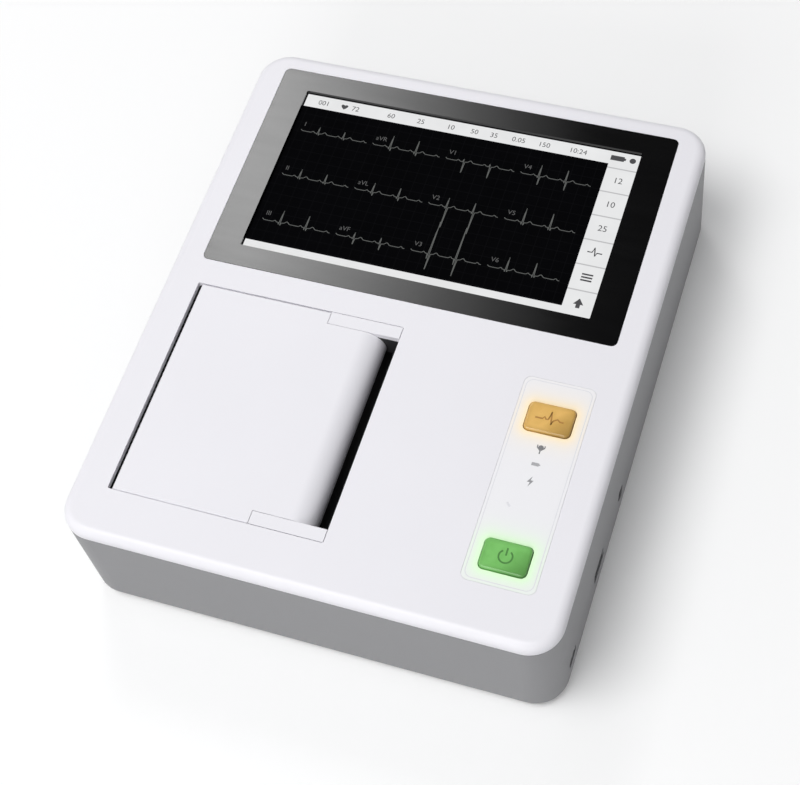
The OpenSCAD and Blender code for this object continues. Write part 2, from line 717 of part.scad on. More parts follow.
module printer_door() color("#eeedf3") difference() {
    union() {
        // plate, narrowed beside the ears
        across(paper_y - half_barrel, paper_y + half_barrel)
            translate([door_x0, top_z - door_t]) square([hinge_x - door_x0, door_t]);
        both(half_barrel - 0.5, half_door) difference() {
            translate([door_x0, top_z - door_t]) square([hinge_x - door_x0, door_t]);
            translate([hinge_x, hinge_z]) circle(ear_r + ear_gap);
        }
        // rolled edge, a shell round the hinge axis
        across(paper_y - half_barrel, paper_y + half_barrel) difference() {
            translate([hinge_x, hinge_z]) circle(barrel_r);
            translate([hinge_x, hinge_z]) circle(barrel_r - door_t + 0.3);
            translate([hinge_x - 2 * barrel_r, hinge_z - 2 * barrel_r])
                square([2 * barrel_r, 4 * barrel_r]);
            translate([hinge_x - barrel_r, hinge_z - 2 * barrel_r])
                square([2 * barrel_r, 1.3 * barrel_r]);
        }
        // knuckles
        both(half_barrel - 2.4, half_barrel) translate([hinge_x, hinge_z]) circle(barrel_r - 0.2);
        both(14, 16) translate([hinge_x, hinge_z]) circle(barrel_r - 1);
        // stiffening ribs
        for (y = [-30, -10, 10, 30]) across(paper_y + y - 0.7, paper_y + y + 0.7)
            translate([door_x0 + 14, top_z - door_t - 1.8]) square([hinge_x - door_x0 - 20, 2]);
        // arms that carry the platen
        both(bracket_in, bracket_out) {
            translate([platen_x, platen_z]) circle(bushing_r + 2);
            translate([platen_x - bushing_r - 0.6, platen_z])
                square([2 * bushing_r + 2.4, top_z - door_t / 2 - platen_z]);
            translate([platen_x, top_z - door_t - 3]) square([20, 4]);
        }
    }
    both(bracket_in - 1, bracket_out + 1) translate([platen_x, platen_z]) circle(bushing_r + 0.02);
    both(0, half_barrel + 1) translate([hinge_x, hinge_z]) circle(hinge_pin_r + run);
    // softened outer edge
    across(paper_y - half_open, paper_y + half_open)
        translate([door_x0, top_z]) rotate(45) square(0.8, center = true);
    for (s = [-1, 1]) translate([door_x0 - 1, paper_y + s * half_door, top_z]) rotate([45, 0, 0])
        translate([0, -0.35, -0.35]) cube([hinge_x - ear_r - door_x0 + 6, 0.7, 0.7]);
}

module hinge_pins() color("#c4c7cc") both(half_barrel - 2.2, tray_out - 0.2)
    translate([hinge_x, hinge_z]) circle(hinge_pin_r);

module platen_bushings() color("#d9d4c4") for (s = [0, 1])
    translate([0, 2 * paper_y * s, 0]) mirror([0, s, 0]) difference() {
        rod(platen_x, platen_z, bushing_r, bracket_in - 0.3, cheek_out + 0.3);
        rod(platen_x, platen_z, platen_shaft_r + run, 0, half_open);
    }

module platen_shaft() color("#c4c7cc") {
    rod(platen_x, platen_z, platen_shaft_r, -gear_in - gear_w - 0.5, cheek_out + 0.9);
}

module platen_rubber() color("#1d1d1f") difference() {
    rod(platen_x, platen_z, platen_r, -half_rubber, half_rubber);
    rod(platen_x, platen_z, platen_shaft_r + 0.02, -half_open, half_open);
}

module spur(x, z, teeth, bore, turn) difference() {
    union() {
        translate([x, paper_y - gear_in, z]) rotate([90, 0, 0])
            linear_extrude(gear_w) rotate(turn) gear_outline(teeth);
        rod(x, z, bore + 1.3, -gear_in - gear_w, -gear_in + 0.5);
    }
    rod(x, z, bore, -half_open, 0);
}

// A tooth of each gear is turned to face the gap of its neighbour.
platen_turn = -90;
idler_turn = 90 + 180 / idler_teeth;
pinion_turn = 180 + pinion_angle + 180 / pinion_teeth
    + (pinion_angle - idler_turn) * idler_teeth / pinion_teeth;

module platen_gear() color("#ece9df")
    spur(platen_x, platen_z, platen_teeth, platen_shaft_r + 0.02, platen_turn);
module idler_gear() color("#ece9df") spur(idler_x, idler_z, idler_teeth, idler_pin_r + run, idler_turn);

module motor_pinion() color("#c9a35a") {
    spur(motor_x, motor_z, pinion_teeth, motor_shaft_r + 0.02, pinion_turn);
    rod(motor_x, motor_z, motor_shaft_r, -tray_out - 7, -gear_in + 0.6);
}

module idler_post() color("#c4c7cc") {
    rod(idler_x, idler_z, idler_pin_r, -gear_in - gear_w - 1, -cheek_in);
    rod(idler_x, idler_z, idler_pin_r + 1, -gear_in - gear_w - 1, -gear_in - gear_w - 0.3);
    rod(idler_x, idler_z, idler_pin_r + 0.8, -gear_in + 0.7, -cheek_out);
}

module stepper_motor() color("#9fa3a8") difference() {
    union() {
        rod(motor_x, motor_z, motor_d / 2, -tray_out - 12, -tray_out - 0.8);
        across(paper_y - tray_out - 0.8, paper_y - tray_out) {
            translate([motor_x, motor_z]) circle(motor_d / 2);
            for (s = [-1, 1]) translate([motor_x + s * (motor_d / 2 + 3), motor_z]) circle(3);
            translate([motor_x - motor_d / 2 - 3, motor_z - 3]) square([motor_d + 6, 6]);
        }
        translate([motor_x, paper_y - tray_out - 8, motor_z - motor_d / 2 - 0.6])
            cube([10, 6, 4], center = true);
    }
    rod(motor_x, motor_z, motor_shaft_r + run, -tray_out - 7.5, 0);
    for (s = [-1, 1]) rod(motor_x + s * (motor_d / 2 + 3), motor_z, screw_r + 0.1, -tray_out - 3, 0);
}

// ---- recorder: mechanism ----

spring_y = [-30, 0, 30];
spring_u = 1.5;
plate_d = head_d + 8.8;
heatsink_t = 3.5;
pivot_u = -6.5;
pivot_d = head_d + 1 + heatsink_t / 2;
pivot_r = 1.2;
spring_top = head_d + 1 + heatsink_t + 0.35;

module cheek_outline() difference() {
    polygon([
        [platen_x + bushing_r + 1.8, platen_z + 3],
        [platen_x + bushing_r + 1.8, idler_z - 4], [platen_x - 2, idler_z - 4],
        slope(-8.5, plate_d + 1.5), slope(4.5, plate_d + 1.5), slope(6, head_d + 4),
        [platen_x - bushing_r - 1.8, platen_z + 3]
    ]);
    translate([platen_x, platen_z]) circle(bushing_r + 0.3);
    translate([platen_x - bushing_r - 0.3, platen_z]) square([2 * bushing_r + 0.6, 20]);
    translate(slope(pivot_u, pivot_d)) circle(pivot_r + run);
}

module print_frame() color("#b4b8bd") difference() {
    union() {
        both(cheek_in, cheek_out) cheek_outline();
        across(paper_y - cheek_out, paper_y + cheek_out) on_slope(-8, 4, plate_d, plate_d + 1);
        // legs down to the tray's sloping floor
        both(cheek_in - 8, cheek_out) {
            on_slope(-7.5, -6.3, plate_d, bay_d);
            on_slope(-12.5, -3.5, bay_d - 1.2, bay_d);
        }
    }
    rod(idler_x, idler_z, idler_pin_r + 0.02, -half_open, 0);
    for (s = [-1, 1]) at_slope(-10.2, bay_d, s * (cheek_in - 4)) cylinder(r = 1.1, h = 9, center = true);
}

// origin on the slope with Z pointing at the platen
module at_slope(u, d, y) {
    p = slope(u, d);
    translate([p[0], paper_y + y, p[1]]) rotate([0, 45, 0]) children();
}

// screws of the motor, the print frame and the tray's feet
module recorder_screws() color("#d0d2d6") {
    for (s = [-1, 1]) {
        translate([motor_x + s * (motor_d / 2 + 3), paper_y - tray_out - 0.8, motor_z]) rotate([-90, 0, 0])
            screw(screw_r, 2.4, 2.4, 1.4);
        at_slope(-10.2, bay_d - 1.2, s * (cheek_in - 4)) mirror([0, 0, 1]) screw(1, 2.8, 1.9, 1.1);
    }
    for (p = tray_spots) translate([p[0], p[1], tray_foot_z + 2.2]) mirror([0, 0, 1])
        screw(screw_r - 0.1, 7, 2.6, 1.6);
}

module head_heatsink() color("#aeb2b7") difference() {
    union() {
        across(paper_y - half_rubber, paper_y + half_rubber) difference() {
            on_slope(-9, 5, head_d + 1, head_d + 1 + heatsink_t);
            // long groove that saves weight
            on_slope(-3.5, -1.5, head_d + 3, head_d + 9);
        }
        for (s = [-1, 1]) {
            p = slope(pivot_u, pivot_d);
            rod(p[0], p[1], pivot_r, min(s * (half_rubber - 1), s * (cheek_out + 0.4)),
                max(s * (half_rubber - 1), s * (cheek_out + 0.4)));
        }
    }
}

module head_substrate() color("#d8d6cf") {
    across(paper_y - half_rubber, paper_y + half_rubber) on_slope(-7, 5, head_d + 0.3, head_d + 1);
    // line of heating dots and the driver cover
    across(paper_y - paper_w / 2, paper_y + paper_w / 2) on_slope(-1, 1, head_d, head_d + 0.4);
    across(paper_y - paper_w / 2 - 0.5, paper_y + paper_w / 2 + 0.5)
        on_slope(-7, -5, head_d - 0.05, head_d + 0.4);
}

function ring_point(p, q, r, a) = p + r * (cos(a) * q[0] + sin(a) * q[1]);
spring_r = 2;
spring_wire = 0.3;
spring_turns = 4;
spring_steps = 12;
spring_sides = 6;
module coil(h) {
    n = spring_turns * spring_steps;
    rise = h - 2 * spring_wire;
    rings = [for (i = [0:n]) let (
        a = 360 * i / spring_steps,
        c = [spring_r * cos(a), spring_r * sin(a), spring_wire + rise * i / n]
    ) [for (k = [0:spring_sides - 1])
        ring_point(c, [[cos(a), sin(a), 0], [0, 0, 1]], spring_wire, 360 * k / spring_sides)]];
    points = [for (ring = rings) each ring];
    faces = concat(
        [[for (k = [0:spring_sides - 1]) k]],
        [for (i = [0:n - 1], k = [0:spring_sides - 1]) let (m = (k + 1) % spring_sides)
            [i * spring_sides + k, (i + 1) * spring_sides + k,
             (i + 1) * spring_sides + m, i * spring_sides + m]],
        [[for (k = [spring_sides - 1:-1:0]) n * spring_sides + k]]
    );
    polyhedron(points, faces, convexity = 8);
}

module head_springs() color("#c8cbd0") for (y = spring_y)
    at_slope(spring_u, plate_d, y) coil(plate_d - spring_top);

module tear_bar() color("#c8cbd0") {
    pitch = 2.5;
    half_bar = paper_w / 2 + 2.5;
    teeth = floor((2 * half_bar - 2) / pitch);
    translate([0, 0, ceiling - 0.6]) linear_extrude(0.6) {
        translate([open_x0 - 6, paper_y - half_bar]) square([6.2, 2 * half_bar]);
        polygon(concat([for (s = [1, -1]) [open_x0 + 0.1, paper_y + s * pitch * teeth / 2]],
            [for (i = [0:2 * teeth])
                [open_x0 + (i % 2 == 0 ? 0.2 : 0.75), paper_y + pitch * (i - teeth) / 2]]));
    }
}

module paper_roll() color("#f4f4f1") difference() {
    rod(roll_x, roll_z, roll_r, -paper_w / 2 + 0.3, paper_w / 2 - 0.3);
    rod(roll_x, roll_z, core_d / 2 + 0.02, -paper_w, paper_w);
}

module roll_core() color("#bfa77f") difference() {
    rod(roll_x, roll_z, core_d / 2, -paper_w / 2 + 0.3, paper_w / 2 - 0.3);
    rod(roll_x, roll_z, core_d / 2 - 1.8, -paper_w, paper_w);
}

module roll_spindle() color("#4a4d52") {
    rod(roll_x, roll_z, journal_d / 2, -half_rubber - 2.6, half_rubber + 2.6);
    both(paper_w / 2 - 12, paper_w / 2 + 0.2) translate([roll_x, roll_z]) circle(core_d / 2 - 1.9);
}

module paper_web() color("#f4f4f1") across(paper_y - paper_w / 2, paper_y + paper_w / 2) {
    lift = 2.45;
    top = slope(lift, web_d);
    low = platen_x + platen_z - sqrt(2) * web_d - roll_x - roll_z;
    on_slope(-(top[1] - roll_z) * sqrt(2) + lift + low / sqrt(2), lift,
        web_d - web_t / 2, web_d + web_t / 2);
    translate(top) circle(web_t / 2);
    translate([top[0] - web_t / 2, top[1]]) square([web_t, 5]);
}

module paper_sensor() color("#2b2d30") across(paper_y - 4, paper_y + 4) {
    on_slope(-19, -11, web_d + 1.6, web_d + 3.6);
    on_slope(-16, -14, web_d + 3.4, bay_d);
}

// ---- electronics ----

module board(x, y, z, w, l, spots) difference() {
    union() {
        translate([x, y, z]) plate(w, l, board_t, 1.5);
        translate([0, 0, z + board_t]) children();
    }
    for (p = spots) translate([p[0], p[1], 0]) cylinder(r = screw_r + 0.15, h = case_h);
}

module part_box(x, y, w, l, h) translate([x - w / 2, y - l / 2, -0.2]) cube([w, l, h + 0.2]);

module main_board() color("#2f6b46") board(main_x, main_y, board_z, main_w, main_l, main_spots) {
    part_box(main_x + 26, main_y - 22, 16, 16, 1.2);
    part_box(main_x + 26, main_y + 4, 12, 20, 1.2);
    for (i = [0:2]) part_box(main_x + 4, main_y - 34 + i * 10, 9, 6, 1.6);
    part_box(main_x - 22, main_y - 40, 24, 5, 5);
    part_box(main_x + 10, main_y + 40, 22, 5, 5);
    for (i = [0:3]) translate([main_x - 36 + i * 9, main_y + 36, -0.2]) cylinder(r = 3, h = 7.2);
    translate([main_x + 36, main_y + 22, -0.2]) cylinder(r = 10, h = 3.4);
}

module board_shield() color("#c3c6cb")
    translate([main_x - 16, main_y + 4, board_z + board_t]) difference() {
    plate(34, 30, 4, 1);
    translate([0, 0, -0.5]) plate(33, 29, 4, 0.6);
    for (i = [-2:2]) translate([i * 6, 0, 0]) cylinder(r = 1, h = 9);
}

module board_screws() color("#d0d2d6") {
    for (p = concat(main_spots, psu_spots, ecg_spots))
        translate([p[0], p[1], board_z + board_t]) mirror([0, 0, 1])
            screw(screw_r - 0.1, board_t + 5, 2.6, 1.6);
    for (p = io_spots)
        translate([p[0], p[1], io_top]) mirror([0, 0, 1]) screw(screw_r - 0.1, board_t + 3, 2.2, 1.4);
}

module power_board() color("#c8b98a") board(psu_x, psu_y, board_z, psu_w, psu_l, psu_spots) {
    translate([psu_x + 24, psu_y + 10, -0.2]) cylinder(r = 8, h = 20);
    translate([psu_x + 28, psu_y - 8, -0.2]) cylinder(r = 5, h = 14);
    translate([psu_x + 16, psu_y - 8, -0.2]) cylinder(r = 5, h = 14);
    part_box(psu_x + 2, psu_y + 21, 12, 8, 12);
    // finned heat sink
    for (i = [0:4]) part_box(psu_x - 34 + i * 2.6, psu_y - 4, 1, 30, 18);
    part_box(psu_x - 28.8, psu_y - 4, 11.4, 30, 3);
    part_box(psu_x, psu_y - 23, 20, 6, 7);
}

module transformer() color("#b98a3c") translate([psu_x - 4, psu_y + 4, board_z + board_t]) {
    plate(24, 20, 4, 1);
    cylinder(r = 7.5, h = 19);
    difference() {
        translate([0, 0, 4]) plate(24, 10, 14, 1);
        translate([0, 0, 6]) plate(18, 12, 10, 0.5);
    }
    translate([0, 0, 16]) plate(22, 18, 3, 1);
}

module battery_pack() color("#2f5d9a") translate([bay_cx, bay_cy, foot_h + door_plate_t + 2.1]) {
    intersection() {
        plate(pack_w, pack_l, pack_h, 3);
        for (i = [-1, 0, 1]) translate([0, i * (pack_l - pack_h) / 2, pack_h / 2]) rotate([0, 90, 0])
            cylinder(r = pack_h / 2 + 0.2, h = pack_w, center = true);
    }
    translate([0, 0, pack_h / 2]) cube([pack_w - 2, pack_l - 8, 5], center = true);
}

module speaker() color("#26282b") translate([speaker_x, speaker_y, floor_z]) {
    cylinder(r = speaker_r, h = 1.4);
    cylinder(r1 = speaker_r - 0.8, r2 = 5, h = 4);
    cylinder(r = 5, h = 6);
}

module ecg_board() color("#2f6b46") board(ecg_x, ecg_y, board_z, ecg_w, ecg_l, ecg_spots) {
    for (i = [0:3]) part_box(ecg_x - 8 + i * 10, ecg_y + 6, 6, 8, 1.6);
    part_box(ecg_x + 28, ecg_y, 6, 16, 6);
    part_box(ecg_x + 14, ecg_y - 8, 14, 6, 9);
}

// outline of a D-shaped plug face, long side up
module d_outline(w, h) {
    lean = h * tan(10);
    polygon([[-w / 2, h / 2], [w / 2, h / 2], [w / 2 - lean, -h / 2], [-w / 2 + lean, -h / 2]]);
}

module patient_socket() color("#c3c6cb")
translate([-case_w / 2, patient_y, patient_z]) rotate([0, 90, 0]) rotate(-90) {
    difference() {
        union() {
            translate([0, 0, wall + 0.1]) plate(39.2, 12.4, 1, 1);
            translate([0, 0, 0.2]) linear_extrude(wall + 1) d_outline(26.4, 9.8);
            translate([0, 0, wall + 1]) linear_extrude(8.5) d_outline(24, 8.4);
        }
        // contact holes in two rows
        for (i = [0:7]) translate([(i - 3.5) * 2.76, 1.4, -1]) cylinder(r = 0.55, h = 7);
        for (i = [0:6]) translate([(i - 3) * 2.76, -1.4, -1]) cylinder(r = 0.55, h = 7);
        for (s = [-1, 1]) translate([s * jackscrew_pitch / 2, 0, -1]) cylinder(r = 1.6, h = 9);
    }
    // tails down to the board
    translate([-10, -patient_z + board_z + board_t, wall + 6])
        cube([20, patient_z - board_z - board_t - 3, 3]);
}

module socket_jackscrews() color("#d0d2d6") for (s = [-1, 1])
    translate([-case_w / 2 + 0.3, patient_y + s * jackscrew_pitch / 2, patient_z])
        rotate([0, 90, 0]) difference() {
        union() {
            cylinder(r = 2.8, h = wall - 0.3, $fn = 6);
            cylinder(r = 1.55, h = wall + 4);
        }
        translate([0, 0, -1]) cylinder(r = 1.2, h = 6);
    }

module io_board() color("#2f6b46") difference() {
    translate([io_x, (jack_y + device_y) / 2 + 2.75, io_top - board_t])
        plate(io_w, jack_y - device_y + 16.5, board_t, 1.5);
    for (p = io_spots) translate([p[0], p[1], 0]) cylinder(r = screw_r + 0.2, h = case_h);
}

module usb_port() color("#c3c6cb") difference() {
    translate([case_w / 2 - 0.3 - 13.5, usb_y - usb_w / 2, io_top]) cube([13.5, usb_w, usb_h]);
    translate([case_w / 2 - 0.3 - 12, usb_y, io_top + usb_h / 2]) difference() {
        translate([0, -usb_w / 2 + 0.4, -usb_h / 2 + 0.4]) cube([20, usb_w - 0.8, usb_h - 0.8]);
        translate([-1, -5.6, 0.4]) cube([10.5, 11.2, 1.9]);
    }
}

module device_port() color("#c3c6cb") translate([case_w / 2 - 0.3, device_y, io_top]) difference() {
    translate([-9, -device_w / 2, 0]) cube([9, device_w, device_h]);
    translate([-7.5, 0, device_h / 2]) difference() {
        translate([0, -device_w / 2 + 0.4, -device_h / 2 + 0.4]) cube([20, device_w - 0.8, device_h - 0.8]);
        translate([-1, -2.5, -0.3]) cube([7, 5, 0.8]);
    }
}

module signal_jack() color("#1f2022") translate([case_w / 2 - 0.3, jack_y, port_z]) difference() {
    union() {
        rotate([0, -90, 0]) cylinder(r = jack_r, h = 6);
        translate([-14, -3.2, -3.2]) cube([10.5, 6.4, 6.4]);
    }
    translate([-12, 0, 0]) rotate([0, 90, 0]) cylinder(r = 1.75, h = 15);
}

module inlet_outline(w, h) polygon([[-w / 2, -h / 2], [w / 2, -h / 2], [w / 2, h / 2 - 5], [w / 2 - 5, h / 2],
    [-w / 2 + 5, h / 2], [-w / 2, h / 2 - 5]]);

// panel set in the rear wall, its rim bonded behind the wall
module rear_panel() color("#8f9093") difference() {
    union() {
        rear_sheet(0, inner_y, case_d / 2 - 0.3);
        difference() {
            rear_sheet(2.5, inner_y - 1.5, inner_y);
            rear_sheet(-1, inner_y - 2, inner_y + 1);
        }
    }
    translate([inlet_x, inner_y, inlet_z]) cube([inlet_w + 0.4, 3 * wall, inlet_h + 0.4], center = true);
    translate([ground_x, inner_y - 1, ground_z]) rotate([-90, 0, 0])
        cylinder(r = well_r + cup_t + 0.1, h = 2 * wall);
}

module mains_inlet() color("#1f2022") translate([inlet_x, case_d / 2 - 0.2, inlet_z]) {
    difference() {
        union() {
            translate([-inlet_w / 2, -inlet_l, -inlet_h / 2]) cube([inlet_w, inlet_l, inlet_h]);
            translate([-inlet_w / 2 - 1.6, -wall - 2, -inlet_h / 2 - 1])
                cube([inlet_w + 3.2, 1.7, inlet_h + 2]);
        }
        rotate([90, 0, 0]) translate([0, 0, -1]) linear_extrude(16) inlet_outline(24, 16.2);
    }
    for (p = [[-7, -1], [0, 3], [7, -1]]) translate([p[0] - 1, -16, p[1] - 2]) cube([2, 13, 4]);
    for (x = [-7, 0, 7]) translate([x - 2.4, -inlet_l - 5, -3]) cube([4.8, 6, 0.8]);
}

// cup round the earth stud, with a flange behind the rear panel
module earth_cup() color("#8f9093")
    translate([ground_x, case_d / 2 - 0.3, ground_z]) rotate([90, 0, 0]) difference() {
    union() {
        cylinder(r = well_r + cup_t, h = well_depth + wall - 0.3);
        translate([0, 0, wall - 0.3]) cylinder(r = well_r + 3.5, h = 1.5);
    }
    translate([0, 0, -1]) cylinder(r = well_r, h = well_depth + 0.7);
    cylinder(r = 2.1, h = 2 * well_depth);
}

module ground_post() color("#c8a850") translate([ground_x, case_d / 2 - 1, ground_z]) rotate([90, 0, 0]) {
    cylinder(r = ground_r, h = well_depth - 1);
    translate([0, 0, well_depth - 3]) cylinder(r = 5.5, h = 2, $fn = 6);
    translate([0, 0, well_depth - 2]) cylinder(r = 2, h = wall + 5);
    translate([0, 0, well_depth + wall - 1]) cylinder(r = 4.5, h = 2, $fn = 6);
}

bottom_case();
top_cover();
rubber_feet();
case_screws();
standoffs();
battery_box();
battery_door();
battery_door_screws();
display_bezel();
touch_panel();
lcd_module();
lcd_bracket();
cover_screws();
key_overlay();
print_key();
power_key();
key_domes();
key_board();
light_pipes();
paper_tray();
recorder_screws();
ear_caps();
printer_door();
hinge_pins();
platen_bushings();
platen_shaft();
platen_rubber();
platen_gear();
idler_gear();
idler_post();
motor_pinion();
stepper_motor();
print_frame();
head_heatsink();
head_substrate();
head_springs();
tear_bar();
paper_roll();
roll_core();
roll_spindle();
paper_web();
paper_sensor();
main_board();
board_shield();
board_screws();
power_board();
transformer();
battery_pack();
speaker();
ecg_board();
patient_socket();
socket_jackscrews();
io_board();
usb_port();
device_port();
signal_jack();
rear_panel();
mains_inlet();
earth_cup();
ground_post();
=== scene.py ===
import math

import bmesh
import bpy
from mathutils import Matrix, Vector


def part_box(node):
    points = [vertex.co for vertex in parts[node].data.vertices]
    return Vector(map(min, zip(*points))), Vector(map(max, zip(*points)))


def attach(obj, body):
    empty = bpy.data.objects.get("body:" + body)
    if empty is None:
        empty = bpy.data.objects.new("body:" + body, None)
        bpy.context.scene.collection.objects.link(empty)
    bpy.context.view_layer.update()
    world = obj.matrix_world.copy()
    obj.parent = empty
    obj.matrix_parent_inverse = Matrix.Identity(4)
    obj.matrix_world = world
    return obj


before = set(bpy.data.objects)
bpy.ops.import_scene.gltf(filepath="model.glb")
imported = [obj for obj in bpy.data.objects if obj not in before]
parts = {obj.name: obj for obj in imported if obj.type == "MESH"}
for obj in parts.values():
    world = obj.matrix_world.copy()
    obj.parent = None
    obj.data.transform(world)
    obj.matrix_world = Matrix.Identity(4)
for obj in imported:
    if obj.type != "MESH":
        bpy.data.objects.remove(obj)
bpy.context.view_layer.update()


# ---------------------------------------------------------------- moulded base
# The lower half of the housing is one grey injection moulding, with the fine even grain of a
# spark eroded mould. Six screws from below pull it up against the cover.

class Wire:
    """A shader socket that can be added, multiplied and compared in plain sums."""

    def __init__(self, shader, socket):
        self.shader, self.socket = shader, socket

    def maths(self, operation, *terms):
        return self.shader.maths(operation, *terms)

    def __add__(self, other):
        return self.maths("ADD", self, other)

    def __sub__(self, other):
        return self.maths("SUBTRACT", self, other)

    def __rsub__(self, other):
        return self.maths("SUBTRACT", other, self)

    def __mul__(self, other):
        return self.maths("MULTIPLY", self, other)

    def __truediv__(self, other):
        return self.maths("DIVIDE", self, other)

    def __rtruediv__(self, other):
        return self.maths("DIVIDE", other, self)

    def __pow__(self, other):
        return self.maths("POWER", self, other)

    def __rpow__(self, other):
        return self.maths("POWER", other, self)

    def __lt__(self, other):
        return self.maths("LESS_THAN", self, other)

    def __gt__(self, other):
        return self.maths("GREATER_THAN", self, other)

    def size(self):
        return self.maths("ABSOLUTE", self)

    def above(self, other):
        return self.maths("MAXIMUM", self, other)

    def below(self, other):
        return self.maths("MINIMUM", self, other)

    def cycle(self):
        return self.maths("FRACT", self)

    __radd__ = __add__
    __rmul__ = __mul__


class Shader:
    """A tree of shader nodes, with short words for the nodes that a pattern needs."""

    def __init__(self, tree):
        self.tree = tree

    def feed(self, socket, value):
        if isinstance(value, Wire):
            self.tree.links.new(value.socket, socket)
        elif socket.type == "RGBA":
            socket.default_value = (*value, 1)
        else:
            socket.default_value = value

    def node(self, kind, settings=None, sockets=(), out=0):
        """Adds one node: its settings first, then the value or link of each socket."""
        made = self.tree.nodes.new(kind)
        for key, value in (settings or {}).items():
            if key == "stops":
                for stop, (place, grey) in zip(made.color_ramp.elements, value):
                    stop.position, stop.color = place, (grey, grey, grey, 1)
            else:
                setattr(made, key, value)
        given = sockets if isinstance(sockets, dict) else dict(enumerate(sockets))
        for key, value in given.items():
            self.feed(made.inputs[key], value)
        if isinstance(out, tuple):
            return [Wire(self, made.outputs[key]) for key in out]
        return Wire(self, made.outputs[out])

    def maths(self, operation, *terms):
        return self.node("ShaderNodeMath", {"operation": operation}, terms)

    def place(self):
        return self.node("ShaderNodeTexCoord", out="Object")

    def axes(self):
        return self.node("ShaderNodeSeparateXYZ", None, [self.place()], out=(0, 1, 2))

    def stretch(self, scales):
        return self.node("ShaderNodeVectorMath", {"operation": "MULTIPLY"}, [self.place(), scales])

    def noise(self, place, scale, detail=2, rough=0.5):
        return self.node("ShaderNodeTexNoise", None,
                         {"Vector": place, "Scale": scale, "Detail": detail, "Roughness": rough})

    def blend(self, first, second, share):
        share_socket, first_socket, second_socket, colour = 0, 6, 7, 2
        return self.node("ShaderNodeMix", {"data_type": "RGBA"},
                         {share_socket: share, first_socket: first, second_socket: second}, out=colour)


class Finish(Shader):
    """A named surface, worn by one or more pieces of the machine."""

    def __init__(self, name, **sockets):
        self.material = bpy.data.materials.new(name)
        self.material.use_nodes = True
        super().__init__(self.material.node_tree)
        self.surface = self.tree.nodes["Principled BSDF"]
        self.set(**sockets)

    def set(self, **sockets):
        for name, value in sockets.items():
            self.feed(self.surface.inputs[name.replace("_", " ")], value)

    def relief(self, height, depth):
        bump = self.node("ShaderNodeBump", None, {"Height": height, "Distance": depth, "Strength": 1})
        self.set(Normal=bump)

    def wear(self, *names):
        for name in names:
            worn = parts[name].data.materials
            worn.clear()
            worn.append(self.material)


def tone(colour, share):
    return [c * share for c in colour]


def moulded(name, colour, rough, depth=0.00004):
    """Injection moulded plastic: an almost even colour over a fine eroded grain."""
    grain = 0.0007
    f = Finish(name)
    place = f.place()
    drift = f.noise(place, 18, 3)
    fine = f.noise(place, 1 / grain, 2, 0.6)
    f.set(Base_Color=f.blend(tone(colour, 0.965), tone(colour, 1.02), drift * 0.8 + fine * 0.2),
          Roughness=rough - 0.05 + fine * 0.1)
    f.relief(fine, depth)
    return f


base_grey = moulded("base_grey", (0.27, 0.27, 0.28), rough=0.5)
base_grey.wear("bottom_case")


# ---------------------------------------------------------------- feet and case screws
# Four soft rubber feet are pushed into wells of the base. Zinc plated pan head screws go up
# through posts of the base into the cover.

def rubbery(name, colour, rough):
    """Moulded rubber: dull, with a faint bloom and a fine pitted skin."""
    f = Finish(name, Specular_IOR_Level=0.35)
    place = f.place()
    bloom = f.noise(place, 60, 4, 0.65)
    pits = f.noise(place, 2400, 2, 0.7)
    f.set(Base_Color=f.blend(tone(colour, 0.8), tone(colour, 1.6), bloom), Roughness=rough + bloom * 0.15)
    f.relief(pits, 0.00006)
    return f


def metal(name, colour, rough, brush):
    """Bare or plated metal, with fine lines along the way it was rolled or turned."""
    f = Finish(name, Metallic=1.0)
    lines = f.noise(f.stretch(brush), 1, 3, 0.6)
    cloud = f.noise(f.place(), 70, 3)
    f.set(Base_Color=f.blend(tone(colour, 0.86), tone(colour, 1.06), lines * 0.6 + cloud * 0.4),
          Roughness=rough - 0.06 + lines * 0.14)
    f.relief(lines, 0.00001)
    return f


rubbery("foot_rubber", (0.028, 0.028, 0.03), rough=0.72).wear("rubber_feet")
screw_steel = metal("screw_steel", (0.62, 0.63, 0.65), rough=0.3, brush=(900, 60, 900))
screw_steel.wear("case_screws")


# ---------------------------------------------------------------- battery
# Three cells in a blue shrink sleeve lie in a box in the base. Its door is moulded with the
# base's own grain and held by two screws.

base_grey.wear("battery_box", "battery_door")
screw_steel.wear("battery_door_screws")

sleeve = Finish("battery_sleeve", Coat_Weight=0.35)
wrinkle = sleeve.noise(sleeve.place(), 160, 4, 0.6)
sleeve.set(Base_Color=sleeve.blend((0.03, 0.09, 0.26), (0.06, 0.16, 0.4), wrinkle),
           Roughness=0.28 + wrinkle * 0.2)
sleeve.relief(wrinkle, 0.0003)
sleeve.wear("battery_pack")


# ---------------------------------------------------------------- speaker
# A small round driver in a black frame. It lies face down in a ring of the base, over slots
# in the floor.

dark_plastic = moulded("dark_plastic", (0.022, 0.022, 0.024), rough=0.42)
dark_plastic.wear("speaker")


# ---------------------------------------------------------------- rear panel
# The panel in the rear wall holds the mains inlet. Next to it a turned brass stud in a cup,
# nutted on the inside, takes the lead that ties the machine to other instruments.

base_grey.wear("rear_panel", "earth_cup")
dark_plastic.wear("mains_inlet")
stud_brass = metal("stud_brass", (0.72, 0.50, 0.20), rough=0.26, brush=(80, 900, 80))
stud_brass.wear("ground_post")


# ---------------------------------------------------------------- main and power boards
# Glass cloth boards under green or tan lacquer, screwed to brass pillars. Copper tracks show
# through as lighter lines, and black or silver parts stand on the boards.

